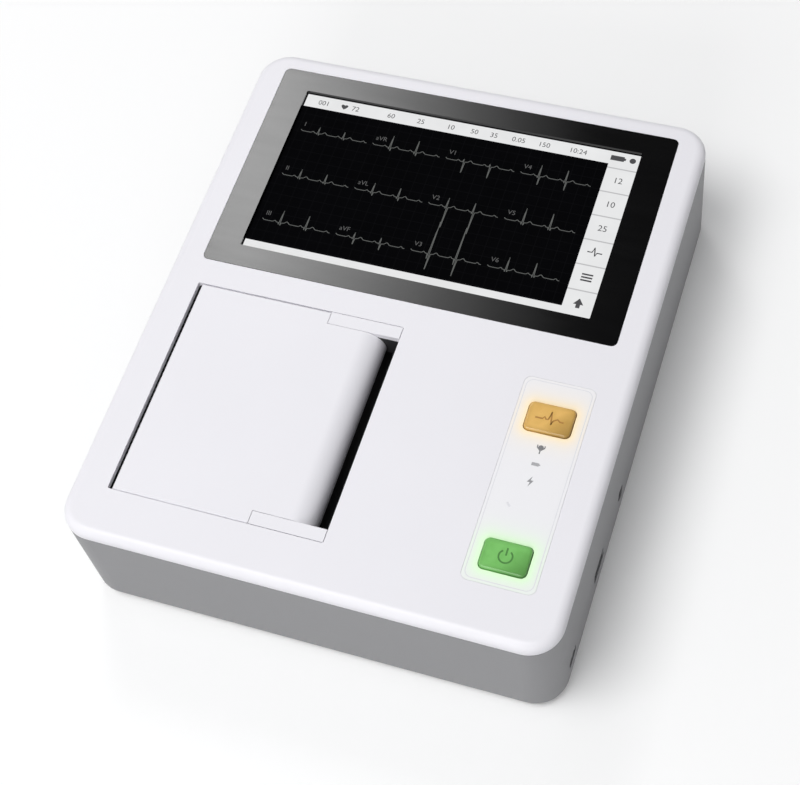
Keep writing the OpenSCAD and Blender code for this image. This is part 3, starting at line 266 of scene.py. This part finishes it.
def circuit(name, lacquer, top, cans=()):
    """A printed board: tracks and pads on its faces, and the parts on it told apart by height."""
    tracks_per_metre, pads_per_metre, parts_height = 520, 330, 0.0003
    f = Finish(name)
    place = f.place()
    x, y, z = f.axes()
    flat = f.node("ShaderNodeCombineXYZ", None, (x, y, 0))
    cells = f.node("ShaderNodeTexVoronoi", {"distance": "CHEBYCHEV"}, {"Vector": flat, "Scale": 95},
                   out="Color")
    upright = f.node("ShaderNodeSeparateXYZ", None, [cells]) > 0.5
    wave = (x * tracks_per_metre).cycle() * upright + (y * tracks_per_metre).cycle() * (1 - upright)
    track = (wave < 0.45) * (f.noise(place, 120) > 0.42)
    dots = f.node("ShaderNodeTexVoronoi", None, {"Vector": flat, "Scale": pads_per_metre})
    pad = (dots < 0.16) * (f.noise(place, 60) > 0.5)
    raised = z > top + parts_height
    can = raised * 0
    for can_x, can_y, radius in cans:
        from_middle = (x - can_x) ** 2 + (y - can_y) ** 2
        can = can.above((from_middle < radius ** 2) * raised)
    speck = f.noise(place, 900, 2)
    colour = f.blend(lacquer, [c * 1.7 + 0.01 for c in lacquer], track)
    colour = f.blend(colour, (0.62, 0.6, 0.55), pad)
    colour = f.blend(colour, f.blend((0.018, 0.018, 0.02), (0.035, 0.034, 0.036), speck), raised)
    colour = f.blend(colour, (0.55, 0.56, 0.58), can)
    f.set(Base_Color=colour, Roughness=0.32 + raised * 0.18 + speck * 0.06, Metallic=can * 0.9)
    f.relief(track * 0.6 + pad, 0.00004)
    return f


def middle(node):
    low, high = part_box(node)
    return (low + high) / 2


board_thickness = 0.0016
board_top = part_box("main_board")[0].z + board_thickness
green_lacquer, tan_lacquer = (0.012, 0.10, 0.045), (0.23, 0.17, 0.07)

# middle and radius of each silver can
x, y, z = middle("main_board")
main_cans = [(x - 0.036 + i * 0.009, y + 0.036, 0.0032) for i in range(4)]
main_cans.append((x + 0.036, y + 0.022, 0.0102))
x, y, z = middle("power_board")
power_cans = [(x + 0.024, y + 0.010, 0.0082), (x + 0.028, y - 0.008, 0.0052), (x + 0.016, y - 0.008, 0.0052)]

circuit("main_board_green", green_lacquer, board_top, main_cans).wear("main_board")
circuit("power_board_tan", tan_lacquer, board_top, power_cans).wear("power_board")
stud_brass.wear("standoffs")
screw_steel.wear("board_screws")
tinned_can = metal("tinned_can", (0.6, 0.61, 0.62), rough=0.28, brush=(60, 900, 60))
tinned_can.wear("board_shield")

winding = Finish("taped_winding")
turns = (winding.axes()[2] * 1400).cycle()
winding.set(Base_Color=winding.blend((0.62, 0.36, 0.05), (0.75, 0.5, 0.1), turns),
            Roughness=0.35 + turns * 0.1)
winding.relief(turns, 0.0001)
winding.wear("transformer")


# ---------------------------------------------------------------- patient board and socket
# The board that takes in the twelve leads stands apart from the others. Its socket has a
# tinned steel shell and two jack screws that hold the cable's plug.

circuit("ecg_board_green", green_lacquer, board_top).wear("ecg_board")
tinned_can.wear("patient_socket")
screw_steel.wear("socket_jackscrews")


# ---------------------------------------------------------------- socket board
# A small board behind the right wall carries two steel data sockets and a black signal jack.
# Each one looks out through its own hole in the wall.

circuit("io_board_green", green_lacquer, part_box("io_board")[1].z).wear("io_board")
tinned_can.wear("usb_port", "device_port")
dark_plastic.wear("signal_jack")


# ---------------------------------------------------------------- paper tray
# The tray is a black moulding that is screwed into the base: a round trough for the roll, a
# bay for the printing mechanism, and walls that carry the ears of the door's hinge.

moulded("tray_black", (0.02, 0.02, 0.022), rough=0.55).wear("paper_tray")
screw_steel.wear("recorder_screws")
dark_plastic.wear("paper_sensor")


# ---------------------------------------------------------------- drive
# A small can stepper turns a brass pinion, which turns the idler and then the platen's own
# gear. The idler is natural acetal and turns on a ground steel post.

def acetal(name, colour):
    """Natural acetal: waxy, slightly see-through, with faint flow marks."""
    f = Finish(name, Subsurface_Weight=0.08, Subsurface_Radius=(0.002, 0.0018, 0.0014))
    flow = f.noise(f.place(), 260, 3, 0.6)
    f.set(Base_Color=f.blend(tone(colour, 0.93), colour, flow), Roughness=0.3 + flow * 0.1)
    f.relief(flow, 0.00004)
    return f


metal("motor_can", (0.5, 0.51, 0.52), rough=0.36, brush=(60, 900, 60)).wear("stepper_motor")
metal("pinion_brass", (0.78, 0.56, 0.25), rough=0.24, brush=(1400, 60, 1400)).wear("motor_pinion")
ground_steel = metal("ground_steel", (0.66, 0.67, 0.68), rough=0.16, brush=(1400, 50, 1400))
ground_steel.wear("idler_post")
gear_acetal = acetal("gear_acetal", (0.80, 0.77, 0.68))
gear_acetal.wear("idler_gear")


# ---------------------------------------------------------------- printing head
# The head is a glazed ceramic strip on an aluminium bar. It pivots in a folded steel frame,
# and three coil springs press its line of dots against the platen.

metal("frame_steel", (0.58, 0.59, 0.61), rough=0.34, brush=(60, 700, 60)).wear("print_frame")
metal("blackened_steel", (0.05, 0.05, 0.055), rough=0.38, brush=(60, 700, 60)).wear("tear_bar")
metal("spring_steel", (0.6, 0.6, 0.62), rough=0.22, brush=(500, 500, 500)).wear("head_springs")
metal("bar_aluminium", (0.74, 0.75, 0.76), rough=0.4, brush=(1500, 30, 1500)).wear("head_heatsink")

glaze = Finish("head_glaze", Coat_Weight=0.4)
dots = (glaze.axes()[1] * 4000).cycle()
speck = glaze.noise(glaze.place(), 700, 2)
glaze.set(Base_Color=glaze.blend((0.52, 0.50, 0.44), (0.66, 0.64, 0.58), speck * 0.7 + dots * 0.3),
          Roughness=0.18 + speck * 0.12)
glaze.relief(speck, 0.00002)
glaze.wear("head_substrate")


# ---------------------------------------------------------------- chart paper
# Thermal paper printed with a faint red millimetre grid, wound on a card core. The spindle
# through the core is grey plastic.

grid_red, paper_white = (0.86, 0.36, 0.34), (0.87, 0.865, 0.85)


def chart_ink(across, along):
    """Strength of the printed grid: a fine line at each millimetre, a stronger one at each fifth."""
    def lines(pitch, width):
        return ((across / pitch).cycle() < width).above((along / pitch).cycle() < width)

    return lines(0.001, 0.14) * 0.28 + lines(0.005, 0.05) * 0.42


web = Finish("web_paper", Specular_IOR_Level=0.3)
x, y, z = web.axes()
fibre = web.noise(web.place(), 1500, 3, 0.6)
down_slope = (x - z) * math.sqrt(0.5)
web.set(Base_Color=web.blend(web.blend((0.83, 0.825, 0.80), paper_white, fibre), grid_red,
                             chart_ink(y, down_slope)),
        Roughness=0.62 + fibre * 0.1)
web.relief(fibre, 0.00002)
web.wear("paper_web")

roll_middle = middle("paper_roll")
roll_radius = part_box("paper_roll")[1].z - roll_middle.z
layers_per_metre = 3300

roll = Finish("roll_paper", Specular_IOR_Level=0.3)
x, y, z = roll.axes()
fibre = roll.noise(roll.place(), 1500, 3, 0.6)
from_axis = ((x - roll_middle.x) ** 2 + (z - roll_middle.z) ** 2) ** 0.5
end_face = from_axis < roll_radius - 0.0002
layers = (from_axis * layers_per_metre).cycle()
arc = roll.maths("ARCTAN2", z - roll_middle.z, x - roll_middle.x) * roll_radius
paper = roll.blend((0.80, 0.795, 0.77), paper_white, fibre * 0.6 + layers * 0.4 * end_face)
roll.set(Base_Color=roll.blend(paper, grid_red, chart_ink(y, arc) * (1 - end_face)),
         Roughness=0.62 + fibre * 0.1)
roll.relief(layers * end_face + fibre * 0.2, 0.00004)
roll.wear("paper_roll")

core = Finish("core_card")
x, y, z = core.axes()
turn = core.maths("ARCTAN2", z - roll_middle.z, x - roll_middle.x) / math.tau
seam = (y * 55 + turn).cycle() < 0.06
pulp = core.noise(core.place(), 500, 4, 0.7)
card = core.blend((0.36, 0.25, 0.14), (0.46, 0.33, 0.2), pulp)
core.set(Base_Color=core.blend(card, (0.2, 0.13, 0.07), seam), Roughness=0.8 + pulp * 0.1)
core.relief(pulp, 0.0001)
core.wear("roll_core")
moulded("spindle_grey", (0.11, 0.115, 0.125), rough=0.4).wear("roll_spindle")


# ---------------------------------------------------------------- recorder door
# The door is a white moulding with a rolled right edge, which turns on steel pins in two
# fixed ears. Its left edge stands clear of the cover, and the strip comes out there.

cover_tint = (0.845, 0.835, 0.875)
moulded("door_white", cover_tint, rough=0.42, depth=0.000025).wear("printer_door", "ear_caps")
ground_steel.wear("hinge_pins")


# ---------------------------------------------------------------- platen
# The roller that draws the paper is black rubber bonded to a steel shaft and ground true.
# It runs in acetal bushings in the door's arms, so that lifting the door frees the paper.

rubbery("platen_rubber_black", (0.024, 0.024, 0.026), rough=0.6).wear("platen_rubber")
ground_steel.wear("platen_shaft")
gear_acetal.wear("platen_gear", "platen_bushings")


# ---------------------------------------------------------------- top cover
# One white moulding with a round edge closes the housing, with openings for the display, the
# recorder and the keys. Screws from inside hold the display's bracket and the key board to it.

moulded("cover_white", cover_tint, rough=0.42, depth=0.000025).wear("top_cover")
screw_steel.wear("cover_screws")


# ---------------------------------------------------------------- display
# A black acrylic frame, polished like glass, is bonded into a pocket of the cover, over the
# touch panel, whose dull face shows no reflection of its own. The display module under it has
# a steel rear, and a steel bracket screwed to the cover holds it up.

bezel = Finish("bezel_black")
haze = bezel.noise(bezel.place(), 40, 4, 0.6)
wipe = bezel.noise(bezel.stretch((30, 220, 30)), 1, 3)
bezel.set(Base_Color=bezel.blend((0.0009, 0.0009, 0.0011), (0.0022, 0.0022, 0.0026), haze),
          Roughness=0.1 + wipe * 0.06)
bezel.wear("display_bezel")
tinned_can.wear("lcd_module", "lcd_bracket")

screen_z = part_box("touch_panel")[1].z
screen_y = middle("touch_panel").y
lit_w, lit_d = 0.1542, 0.0859
lit_left, lit_right = -lit_w / 2, lit_w / 2
lit_front, lit_back = screen_y - lit_d / 2, screen_y + lit_d / 2
status_h, menu_w, foot_h = 0.0068, 0.0128, 0.0042
button_h, grid_pitch = 0.0128, 0.005

panel = Finish("lit_panel", Specular_IOR_Level=0.0, Roughness=0.6, Emission_Strength=1.0)
x, y, z = panel.axes()
face = (z > screen_z - 0.0002) * (x.size() < lit_w / 2) * ((y - screen_y).size() < lit_d / 2)
status = y > lit_back - status_h
menu = x > lit_right - menu_w
foot = y < lit_front + foot_h
bars = status.above(menu).above(foot) * face
grid = ((x / grid_pitch).cycle() < 0.04).above((y / grid_pitch).cycle() < 0.04)
rule = (((y - lit_front) / button_h).cycle() < 0.05) * menu * (1 - status)
wash = panel.noise(panel.place(), 90, 3)
lit = panel.blend(panel.blend((0.0008, 0.0008, 0.001), (0.0035, 0.0035, 0.004), grid),
                  panel.blend((0.74, 0.745, 0.75), (0.86, 0.865, 0.87), wash), bars)
lit = panel.blend(lit, (0.52, 0.52, 0.53), rule)
panel.set(Base_Color=panel.blend((0.001, 0.001, 0.0012), (0.002, 0.002, 0.0024), wash),
          Emission_Color=panel.blend((0, 0, 0), lit, face))
panel.wear("touch_panel")


# ---------------------------------------------------------------- picture on the display
# Twelve leads are drawn in three rows of four, each with its name before it. The bars at the
# top and the right hold small marks and plain numbers.

mm = 0.001


def glow(name, colour):
    """Marks that the display shows, with the faint unevenness of its rear light."""
    f = Finish(name, Specular_IOR_Level=0.1, Roughness=0.6, Emission_Strength=1.0)
    haze = f.noise(f.place(), 300, 2)
    f.set(Base_Color=(0.004, 0.004, 0.004), Emission_Color=f.blend(tone(colour, 0.82), colour, haze))
    return f


def around(x, y, points):
    """Points given in millimetres from a middle."""
    return [(x + a * mm, y + b * mm) for a, b in points]


class Marks:
    """Flat marks drawn at one height, which become one piece."""

    def __init__(self, z):
        self.bm, self.z = bmesh.new(), z

    def patch(self, points):
        self.bm.faces.new([self.bm.verts.new((x, y, self.z)) for x, y in points])

    def bar(self, x, y, w, h):
        corners = ((-1, -1), (1, -1), (1, 1), (-1, 1))
        self.patch([(x + a * w / 2, y + b * h / 2) for a, b in corners])

    def disc(self, x, y, radius, sides=20):
        angles = [math.tau * i / sides for i in range(sides)]
        self.patch([(x + radius * math.cos(a), y + radius * math.sin(a)) for a in angles])

    def strip(self, points, width, lift=0, closed=False):
        """A strip along a line of points, or round a closed one."""
        rows = []
        last = len(points) - 1
        for i, (x, y) in enumerate(points):
            before, after = (i - 1, (i + 1) % len(points)) if closed else (max(i - 1, 0), min(i + 1, last))
            along = (Vector(points[after]) - Vector(points[before])).normalized()
            side = Vector((-along.y, along.x)) * width / 2
            rows.append([self.bm.verts.new((x + s * side.x, y + s * side.y, self.z + lift)) for s in (1, -1)])
        for (a, b), (c, d) in zip(rows, rows[1:] + rows[:1] * closed):
            self.bm.faces.new((a, b, d, c))

    def word(self, text, height, x, y, align="LEFT"):
        curve = bpy.data.curves.new("word", "FONT")
        curve.body, curve.size, curve.align_x, curve.resolution_u = text, height, align, 3
        holder = bpy.data.objects.new("word", curve)
        bpy.context.scene.collection.objects.link(holder)
        flat = holder.to_mesh()
        flat.transform(Matrix.Translation((x, y, self.z)))
        self.bm.from_mesh(flat)
        holder.to_mesh_clear()
        bpy.data.objects.remove(holder)
        bpy.data.curves.remove(curve)

    def settle(self, name, finish, body, slot):
        """Makes the piece, facing up, and lets it ride on a body of the machine."""
        self.bm.normal_update()
        for face in self.bm.faces:
            if face.normal.z < 0:
                face.normal_flip()
        mesh = bpy.data.meshes.new(name)
        self.bm.to_mesh(mesh)
        self.bm.free()
        mesh.materials.append(finish.material)
        piece = bpy.data.objects.new(name, mesh)
        bpy.context.scene.collection.objects.link(piece)
        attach(piece, body)


picture_z = screen_z + 0.00004
wave_left, wave_right = lit_left + 0.002, lit_right - menu_w - 0.003
wave_front, wave_back = lit_front + foot_h, lit_back - status_h
column_w = (wave_right - wave_left) / 4
row_h = (wave_back - wave_front) / 3
leads = [["I", "aVR", "V1", "V4"], ["II", "aVL", "V2", "V5"], ["III", "aVF", "V3", "V6"]]
# height of the R wave and depth of the S wave of each lead, in millimetres
peaks = [[(3.5, 1), (6.5, 2), (1.5, 6.5), (6, 5)],
         [(4.5, 1), (5, 2), (5, 12), (7.5, 1.5)],
         [(6.5, 1.5), (3, 3.5), (17, 9), (6.5, 1)]]


def beat(t, tall, deep):
    """One heart beat from t = 0 to 1, in millimetres above the base line."""
    def bump(at, wide, high):
        return high * math.exp(-((t - at) / wide) ** 2)

    return (bump(0.22, 0.05, 0.7) - bump(0.385, 0.012, 0.18 * tall) + bump(0.42, 0.016, tall)
            - bump(0.458, 0.016, deep) + bump(0.68, 0.075, 1.1))


trace_steps, beats_shown, first_beat = 240, 2.63, 0.27
trace_stroke, name_size, reading_size, number_size = 0.00033, 0.0032, 0.0036, 0.0042
traces, lead_names = Marks(picture_z), Marks(picture_z)
for row in range(3):
    row_y = wave_back - row_h * (row + 0.5)
    for column in range(4):
        start = wave_left + column * column_w + 0.0015
        line = []
        for i in range(trace_steps + 1):
            done = i / trace_steps
            rise = beat((done * beats_shown - first_beat) % 1, *peaks[row][column])
            line.append((start + column_w * 0.92 * done, row_y - 0.0012 + rise * mm))
        traces.strip(line, trace_stroke)
        lead_names.word(leads[row][column], name_size, start + 0.0006, row_y + 0.0016)
traces.settle("screen_traces", glow("trace_grey", (0.12, 0.125, 0.12)), "housing", "touch_glass")
lead_names.settle("screen_lead_names", glow("name_grey", (0.11, 0.11, 0.11)), "housing", "touch_glass")

marks = Marks(picture_z)
status_y = lit_back - status_h / 2
readings = ((-0.071, "001"), (-0.055, "72"), (-0.038, "60"), (-0.024, "25"), (-0.010, "10"), (0.001, "50"),
            (0.010, "35"), (0.020, "0.05"), (0.032, "150"), (0.046, "10:24"))
for x, text in readings:
    marks.word(text, reading_size, x, status_y - 0.0013)

# heart, battery with its terminal, and a dot
angles = [math.tau * i / 28 for i in range(28)]
heart = [(math.sin(a) ** 3 * 1.6, (13 * math.cos(a) - 5 * math.cos(2 * a) - 2 * math.cos(3 * a)) / 10)
         for a in angles]
marks.patch(around(-0.0585, status_y, heart))
marks.bar(0.0675, status_y, 0.006, 0.0026)
marks.bar(0.07085, status_y, 0.0007, 0.0012)
marks.disc(0.0742, status_y, 0.0014)

# the six buttons of the right column, from the front: arrow, list, wave and three numbers
menu_x = lit_right - menu_w / 2
button_y = [lit_front + button_h * (i + 0.5) + 0.0006 for i in range(6)]
marks.patch(around(menu_x, button_y[0], [(-2.2, -0.8), (2.2, -0.8), (0, 2.2)]))
marks.bar(menu_x, button_y[0] - 0.0017, 0.0018, 0.0018)
for i in (-1, 0, 1):
    marks.bar(menu_x, button_y[1] + i * 0.0015, 0.0048, 0.0008)
wave = [(-3.2, 0), (-1.2, 0), (-0.5, 2.6), (0.4, -1.8), (1, 0), (3.2, 0)]
marks.strip(around(menu_x, button_y[2], wave), 0.0006)
for y, text in zip(button_y[3:], ("25", "10", "12")):
    marks.word(text, number_size, menu_x, y - 0.0015, "CENTER")
marks.settle("screen_marks", glow("mark_dark", (0.075, 0.075, 0.08)), "housing", "touch_glass")


# ---------------------------------------------------------------- keys
# Two translucent coloured keys are lit from below in the machine, shown here by a painted glow in their
# material, and a painted pool of their light tints the film round them and makes it glow. The film is printed
# with a thin outline and the marks of three lamps.

key_x, print_y = middle("print_key").xy
power_y = middle("power_key").y
cap_half_w, cap_half_d, cap_corner = 0.0095, 0.0065, 0.0022
orange, green = (0.60, 0.35, 0.07), (0.13, 0.42, 0.08)


def from_cap(x, y, cap_y):
    """Distance outside a key's rounded outline, negative within."""
    dx = ((x - key_x).size() - (cap_half_w - cap_corner)).above(0)
    dy = ((y - cap_y).size() - (cap_half_d - cap_corner)).above(0)
    return (dx * dx + dy * dy) ** 0.5 - cap_corner


# painted light: each key's orange or green pool of light is painted on the film as tint and glow, fading away
# from the key's outline
painted_glow_fade = 320
film = Finish("key_film", Emission_Strength=0.14)
x, y, z = film.axes()
fine = film.noise(film.place(), 1800, 2)
painted_orange_glow, painted_green_glow = [math.e ** (from_cap(x, y, cap_y).above(0) * -painted_glow_fade) for cap_y in (print_y, power_y)]
film_colour = film.blend((0.865, 0.86, 0.885), (0.885, 0.88, 0.905), fine)
film_colour = film.blend(film_colour, (0.98, 0.78, 0.40), painted_orange_glow * 0.8)
film_colour = film.blend(film_colour, (0.66, 0.98, 0.52), painted_green_glow * 0.75)
film.set(Base_Color=film_colour, Roughness=0.36 + fine * 0.08,
         Emission_Color=film.blend(film.blend((0, 0, 0), (1, 0.62, 0.2), painted_orange_glow), (0.35, 1, 0.3), painted_green_glow))
film.relief(fine, 0.00001)
film.wear("key_overlay")


def lit_cap(name, colour, node, cap_y):
    """Coloured key with painted light and shade: a painted lighter area at its left and back, painted shade
    at its right, its front and its rim, and the same colour given out as a faint painted glow.
    """
    f = Finish(name, Coat_Weight=0.25, Emission_Strength=0.12, Subsurface_Weight=0.1,
               Subsurface_Radius=(0.002, 0.002, 0.002))
    rim = 0.0026
    x, y, z = f.axes()
    soft = f.noise(f.place(), 240, 3)
    # painted shade: darker along the rim and towards the right and front; painted lighter colour at the left
    # and back
    edge = (from_cap(x, y, cap_y) / rim + 1).above(0).below(1)
    painted_slant_shade = ((x - key_x) * 55 - (y - cap_y) * 45).above(0).below(1)
    bright = f.blend(colour, [min(1, c * 1.25 + 0.06) for c in colour], (1 - painted_slant_shade) * soft)
    shade = f.blend(bright, tone(colour, 0.38), (edge * (0.3 + painted_slant_shade * 0.7)).above(painted_slant_shade * 0.9))
    f.set(Base_Color=shade, Emission_Color=shade, Roughness=0.32 + soft * 0.1)
    f.relief(soft, 0.00004)
    f.wear(node)


def printed(name, colour):
    """Screen printed ink, slightly glossier than the film it lies on."""
    f = Finish(name)
    grain = f.noise(f.place(), 2000, 2)
    f.set(Base_Color=f.blend(tone(colour, 0.9), tone(colour, 1.15), grain), Roughness=0.4 + grain * 0.1)
    return f


lit_cap("orange_cap", orange, "print_key", print_y)
lit_cap("green_cap", green, "power_key", power_y)

ink_rise = 0.00003
key_stroke, lamp_stroke, outline_stroke = 0.0007, 0.0005, 0.0003
cap_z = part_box("print_key")[1].z + ink_rise
film_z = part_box("key_overlay")[1].z + ink_rise

# print key: a heart's trace
mark = Marks(cap_z)
wave = [(-5.8, -0.6), (-2.8, -0.6), (-2.1, 0.4), (-1.4, -0.6), (-0.6, -0.6), (0.2, 3.1), (1.1, -2.6),
        (1.8, -0.6), (3.2, 0.3), (4.3, -0.6), (5.8, -0.6)]
mark.strip(around(key_x, print_y, wave), key_stroke)
mark.settle("print_mark", printed("mark_amber", (0.42, 0.2, 0.04)), "print_button", "key_orange")

# power key: a broken ring with a bar
mark = Marks(cap_z)
bearings = [math.radians(a) for a in range(35, 326, 10)]
ring = [(2.7 * math.sin(a), 2.7 * math.cos(a)) for a in bearings]
mark.strip(around(key_x, power_y, ring), key_stroke)
mark.strip(around(key_x, power_y, [(0, 0.4), (0, 3.6)]), key_stroke)
mark.settle("power_mark", printed("mark_green", (0.06, 0.22, 0.04)), "power_button", "key_green")

# lamp marks in front of the print key: plug, battery and charging bolt
plug_y, cell_y, bolt_y = print_y - 0.0126, print_y - 0.0204, print_y - 0.0281
plug, cell, bolt = Marks(film_z), Marks(film_z), Marks(film_z)
plug.disc(key_x, plug_y - 0.0002, 0.0011)
fork = [(-1.5, 0.8), (-1.5, -0.2), (0, -1.7), (1.5, -0.2), (1.5, 0.8)]
plug.strip(around(key_x, plug_y, fork), lamp_stroke, lift=0.00001)
plug.strip(around(key_x, plug_y, [(0, -1.7), (0, -3)]), lamp_stroke)
cell.bar(key_x - 0.0002, cell_y, 0.003, 0.0014)
cell.bar(key_x + 0.00155, cell_y, 0.0005, 0.0006)
flash = [(0.4, 2.4), (-1.3, -0.4), (-0.1, -0.4), (-0.5, -2.4), (1.2, 0.5), (0, 0.5)]
bolt.patch(around(key_x, bolt_y, flash))
for name, drawn, grey in (("lamp_mark_plug", plug, 0.2), ("lamp_mark_cell", cell, 0.4),
                          ("lamp_mark_bolt", bolt, 0.3)):
    drawn.settle(name, printed(f"ink_{name}", (grey, grey, grey * 1.04)), "housing", "overlay")

# the film's outline, and a short stroke behind the power key
outline_inset, outline_corner = 0.0012, 0.003
film_middle = middle("key_overlay")
straight_w, straight_d = [half - outline_inset - outline_corner
                          for half in (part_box("key_overlay")[1] - film_middle).xy]
outline = []
for side_x, side_y, first in ((1, 1, 0), (-1, 1, 90), (-1, -1, 180), (1, -1, 270)):
    for degrees in range(first, first + 91, 15):
        a = math.radians(degrees)
        outline.append((key_x + side_x * straight_w + outline_corner * math.cos(a),
                        film_middle.y + side_y * straight_d + outline_corner * math.sin(a)))
film_lines = Marks(film_z)
film_lines.strip(around(key_x, power_y, [(-6.2, 22.8), (-4.6, 21.2)]), 0.0009)
film_lines.strip(outline, outline_stroke, closed=True)
film_lines.settle("film_outline", printed("ink_pale", (0.74, 0.74, 0.77)), "housing", "overlay")

rubbery("dome_silicone", (0.42, 0.41, 0.39), rough=0.5).wear("key_domes")
circuit("key_board_green", green_lacquer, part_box("key_board")[1].z - 0.001).wear("key_board")

pipes = Finish("light_pipe_clear", IOR=1.49)
milk = pipes.noise(pipes.place(), 400, 2)
pipes.set(Base_Color=pipes.blend((0.75, 0.78, 0.8), (0.88, 0.9, 0.92), milk), Roughness=0.12 + milk * 0.1)
pipes.wear("light_pipes")


# ---------------------------------------------------------------- studio
# A white table, a soft light overhead and a weaker one in front. A row of cards behind, which
# is brightest at its left end, shows in the frame of the display.

def seen_directly(shader):
    """1 for what the camera sees, straight or in a mirror or through glass, and 0 for light."""
    seen, mirrored, through = shader.node("ShaderNodeLightPath", out=(
        "Is Camera Ray", "Is Glossy Ray", "Is Transmission Ray"))
    return seen.above(mirrored).above(through)


table_bm = bmesh.new()
bmesh.ops.create_circle(table_bm, cap_ends=True, radius=6, segments=96)
table_mesh = bpy.data.meshes.new("table")
table_bm.to_mesh(table_mesh)
table_bm.free()
table = bpy.data.objects.new("table", table_mesh)
bpy.context.scene.collection.objects.link(table)

# close to the machine the table keeps its shadow, and far away it is plain white
shadow_half_w, shadow_half_d = 0.1, 0.125
white = Finish("table_white", Roughness=0.9, Specular_IOR_Level=0.0)
direct = seen_directly(white)
white.set(Base_Color=white.blend((0.7, 0.7, 0.7), (1, 1, 1), direct))
x, y, z = white.axes()
distance = ((x.size() - shadow_half_w).above(0) ** 2 + (y.size() - shadow_half_d).above(0) ** 2) ** 0.5
away = (distance * 2 - 0.1).above(0).below(1)
painted = Wire(white, white.surface.outputs[0])
bright = white.node("ShaderNodeEmission", None, [(1, 1, 1), 1])
mixed = white.node("ShaderNodeMixShader", None, [direct * (away * 0.9 + 0.1), painted, bright])
white.feed(white.tree.nodes["Material Output"].inputs["Surface"], mixed)
table_mesh.materials.append(white.material)

world = bpy.data.worlds.new("studio")
bpy.context.scene.world = world
world.use_nodes = True
sky = Shader(world.node_tree)
fill = sky.node("ShaderNodeBackground", None, [(0.97, 0.98, 1), 0.27])
height = sky.node("ShaderNodeSeparateXYZ", None, [sky.node("ShaderNodeTexCoord")], out="Z")
pale = sky.node("ShaderNodeValToRGB", {"stops": [(0.45, 1.0), (0.75, 0.05)]}, [height])
backdrop = sky.node("ShaderNodeBackground", None, [pale, 1])
shown = sky.node("ShaderNodeMixShader", None, [seen_directly(sky), fill, backdrop])
sky.feed(sky.tree.nodes["World Output"].inputs["Surface"], shown)


def soft_light(name, at, aim, size, power):
    lamp = bpy.data.lights.new(name, "AREA")
    lamp.shape = "RECTANGLE"
    lamp.size, lamp.size_y = size
    lamp.energy = power
    holder = bpy.data.objects.new(name, lamp)
    holder.location = at
    holder.rotation_euler = (Vector(at) - Vector(aim)).to_track_quat("Z", "Y").to_euler()
    bpy.context.scene.collection.objects.link(holder)
    return holder


soft_light("overhead", (-0.55, -0.7, 2.1), (0, 0, 0), (1.2, 1.2), 33)
soft_light("front_fill", (0.05, -1.7, 0.8), (0, 0, 0.03), (0.8, 0.7), 7.4)

card_slant = math.radians(9)
card_y, card_z, card_d = 0.87, 1.262, 0.48
card_edges = (-0.72, -0.586, -0.514, -0.443, -0.371, -0.299, -0.227)
card_radiances = (8.8, 6.8, 4.9, 3.1, 1.55, 0.6)
for i, radiance in enumerate(card_radiances):
    left, right = card_edges[i], card_edges[i + 1]
    card_x, card_w = (left + right) / 2, (right - left) * math.cos(card_slant)
    card = soft_light(f"rear_left_{i}", (card_x, card_y, card_z), (card_x, card_y, 0), (card_w, card_d),
                      radiance * math.pi * card_w * card_d)
    card.rotation_euler.z += card_slant

bpy.context.scene.view_settings.view_transform = "Standard"

focal_length, picture_w, sensor_w = 1733.06, 800, 36
eye = Vector((0.18650, -0.34360, 0.66540))
rightward = Vector((0.943949, 0.310516, -0.111981))
downward = Vector((0.217742, -0.840712, -0.495774))
forward = rightward.cross(downward)
turned = Matrix((rightward, -downward, -forward)).transposed().to_4x4()
camera_data = bpy.data.cameras.new("camera")
camera_data.lens = focal_length / picture_w * sensor_w
camera_data.sensor_width = sensor_w
camera_data.clip_end = 50
camera = bpy.data.objects.new("camera", camera_data)
camera.matrix_world = Matrix.Translation(eye) @ turned
bpy.context.scene.collection.objects.link(camera)
bpy.context.scene.camera = camera
